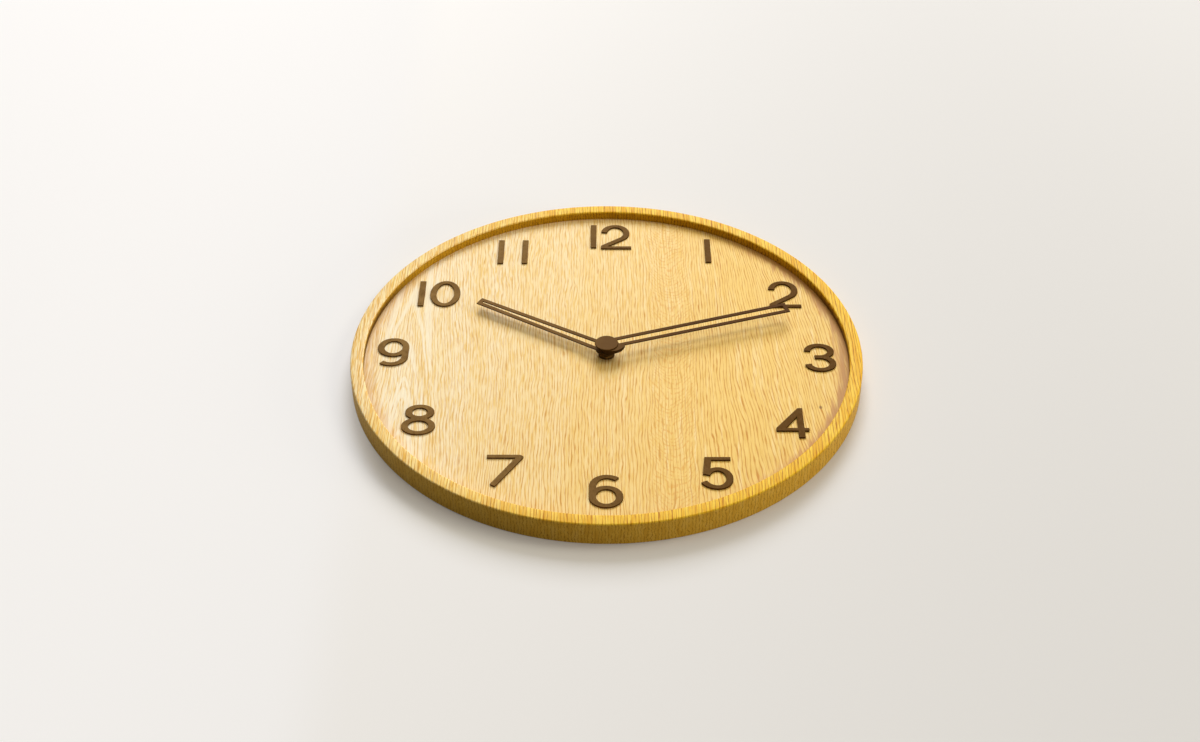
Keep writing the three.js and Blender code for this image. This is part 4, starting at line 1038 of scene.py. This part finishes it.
# Stage: a pale board with a round opening for the movement, so that the rim's back lies on it as in the
# photo. Far out the board glows evenly. A large cool light stands behind twelve o'clock, a wide warm one
# hangs overhead, weaker warm ones stand on the right and in front, and one under the board shows the back.
FLOOR_REACH = 12.0
FLOOR_OPENING = 146.5 * mm
FLOOR_GAP = 0.05 * mm
FLOOR_STEPS = 96
# Painted light: the floor is paler on the left and greyer on the right.
FLOOR_LIGHT_SIDES = (-0.35, 0.35)
FLOOR_LIT_LEFT = linear(251, 249, 248)
FLOOR_DIM_RIGHT = linear(227, 225, 223)
FLOOR_BOUNCE = linear(150, 147, 142)
FLOOR_ROUGHNESS = 0.9
FLOOR_GLOW = 0.10
# Painted light: the floor glows more left of the clock, which lightens the shadow there.
PAINTED_LEFT_LIGHT = 0.42
PAINTED_LEFT_REACH = (-0.120, -0.165)
LIT_EDGE = (0.7, 1.5)
PALE_FAR = linear(243, 241, 237)
UNLIT = (0.0, 0.0, 0.0)
WORLD_TINT = (1.0, 0.94, 0.80)
WORLD_BOUNCE = 0.16
COOL_WHITE = (0.95, 0.98, 1.06)
WARM_WHITE = (1.0, 0.93, 0.76)
floor_level = rim_low.z - FLOOR_GAP


def seen_directly(tree):
    """1 for what the camera, a reflection or glass looks at, 0 for light that bounces between surfaces."""
    path = add_node(tree, "ShaderNodeLightPath").outputs
    either = maths(tree, "MAXIMUM", path["Is Camera Ray"], path["Is Glossy Ray"])
    return maths(tree, "MAXIMUM", either, path["Is Transmission Ray"])


def pale_board():
    """Matte paint that glows a little, more left of the clock as painted light, and evenly far out. It is
    paler on the left and greyer on the right as painted light, and bounces little light.
    """
    material, tree, shader = new_finish("pale_floor")
    place = object_place(tree)
    x = parts_of(tree, place)[0]
    away = add_node(tree, "ShaderNodeVectorMath", operation="LENGTH")
    tree.links.new(place, away.inputs[0])
    far = between(tree, away.outputs["Value"], *LIT_EDGE)
    glow = between(tree, x, *PAINTED_LEFT_REACH, start=FLOOR_GLOW, end=PAINTED_LEFT_LIGHT)
    glow = maths(tree, "MAXIMUM", glow, far)
    pale = blended(tree, between(tree, x, *FLOOR_LIGHT_SIDES), FLOOR_LIT_LEFT, FLOOR_DIM_RIGHT)
    pale = blended(tree, far, pale, PALE_FAR)
    lit = blended(tree, glow, pale, UNLIT)
    seen = seen_directly(tree)
    feed(tree, shader, Base_Color=blended(tree, seen, FLOOR_BOUNCE, lit))
    feed(tree, shader, Emission_Color=pale, Emission_Strength=times(tree, seen, glow))
    feed(tree, shader, Roughness=FLOOR_ROUGHNESS, Specular_IOR_Level=0.0)
    return material


def floor_ring(reach):
    turns = [math.tau * step / FLOOR_STEPS for step in range(FLOOR_STEPS)]
    return [(reach * math.cos(turn), reach * math.sin(turn), floor_level) for turn in turns]


def soft_light(name, bearing, height, distance, size, power, colour):
    lamp = bpy.data.lights.new(name, "AREA")
    lamp.shape = "SQUARE"
    lamp.size = size
    lamp.energy = power
    lamp.color = colour
    item = bpy.data.objects.new(name, lamp)
    bpy.context.collection.objects.link(item)
    turn, rise = math.radians(bearing), math.radians(height)
    item.location = (
        distance * math.cos(rise) * math.cos(turn),
        distance * math.cos(rise) * math.sin(turn),
        distance * math.sin(rise),
    )
    item.rotation_euler = (math.pi / 2 - rise, 0, turn + math.pi / 2)


floor_mesh = bpy.data.meshes.new("floor")
floor_mesh.from_pydata(floor_ring(FLOOR_OPENING) + floor_ring(FLOOR_REACH), [], [
    (step, FLOOR_STEPS + step, FLOOR_STEPS + (step + 1) % FLOOR_STEPS, (step + 1) % FLOOR_STEPS)
    for step in range(FLOOR_STEPS)
])
floor_mesh.materials.append(pale_board())
floor = bpy.data.objects.new("floor", floor_mesh)
bpy.context.collection.objects.link(floor)

world = bpy.data.worlds.new("studio")
bpy.context.scene.world = world
world.use_nodes = True
world_tree = world.node_tree
world_seen = seen_directly(world_tree)
feed(
    world_tree,
    world_tree.nodes["Background"],
    Color=blended(world_tree, world_seen, WORLD_TINT, PALE_FAR),
    Strength=between(world_tree, world_seen, 0.0, 1.0, start=WORLD_BOUNCE, end=1.0),
)

soft_light("main_softbox", bearing=84, height=36, distance=4.0, size=1.9, power=132, colour=COOL_WHITE)
soft_light("wide_softbox", bearing=95, height=70, distance=4.0, size=3.0, power=42, colour=WARM_WHITE)
soft_light("right_softbox", bearing=12, height=44, distance=4.0, size=1.2, power=30, colour=WARM_WHITE)
soft_light("low_fill", bearing=338, height=9, distance=4.0, size=1.2, power=46, colour=WARM_WHITE)
soft_light("back_softbox", bearing=270, height=-55, distance=2.0, size=1.5, power=24, colour=WARM_WHITE)

camera_data = bpy.data.cameras.new("camera")
camera_data.sensor_width = 36
camera_data.lens = 54.30
camera_data.shift_x = -0.0069
camera = bpy.data.objects.new("camera", camera_data)
bpy.context.collection.objects.link(camera)
camera.location = (0.0, -0.8372, 0.6839)
camera.rotation_euler = (math.radians(51.09), math.radians(-0.09), 0.0)
bpy.context.scene.camera = camera
bpy.context.scene.view_settings.view_transform = "Standard"
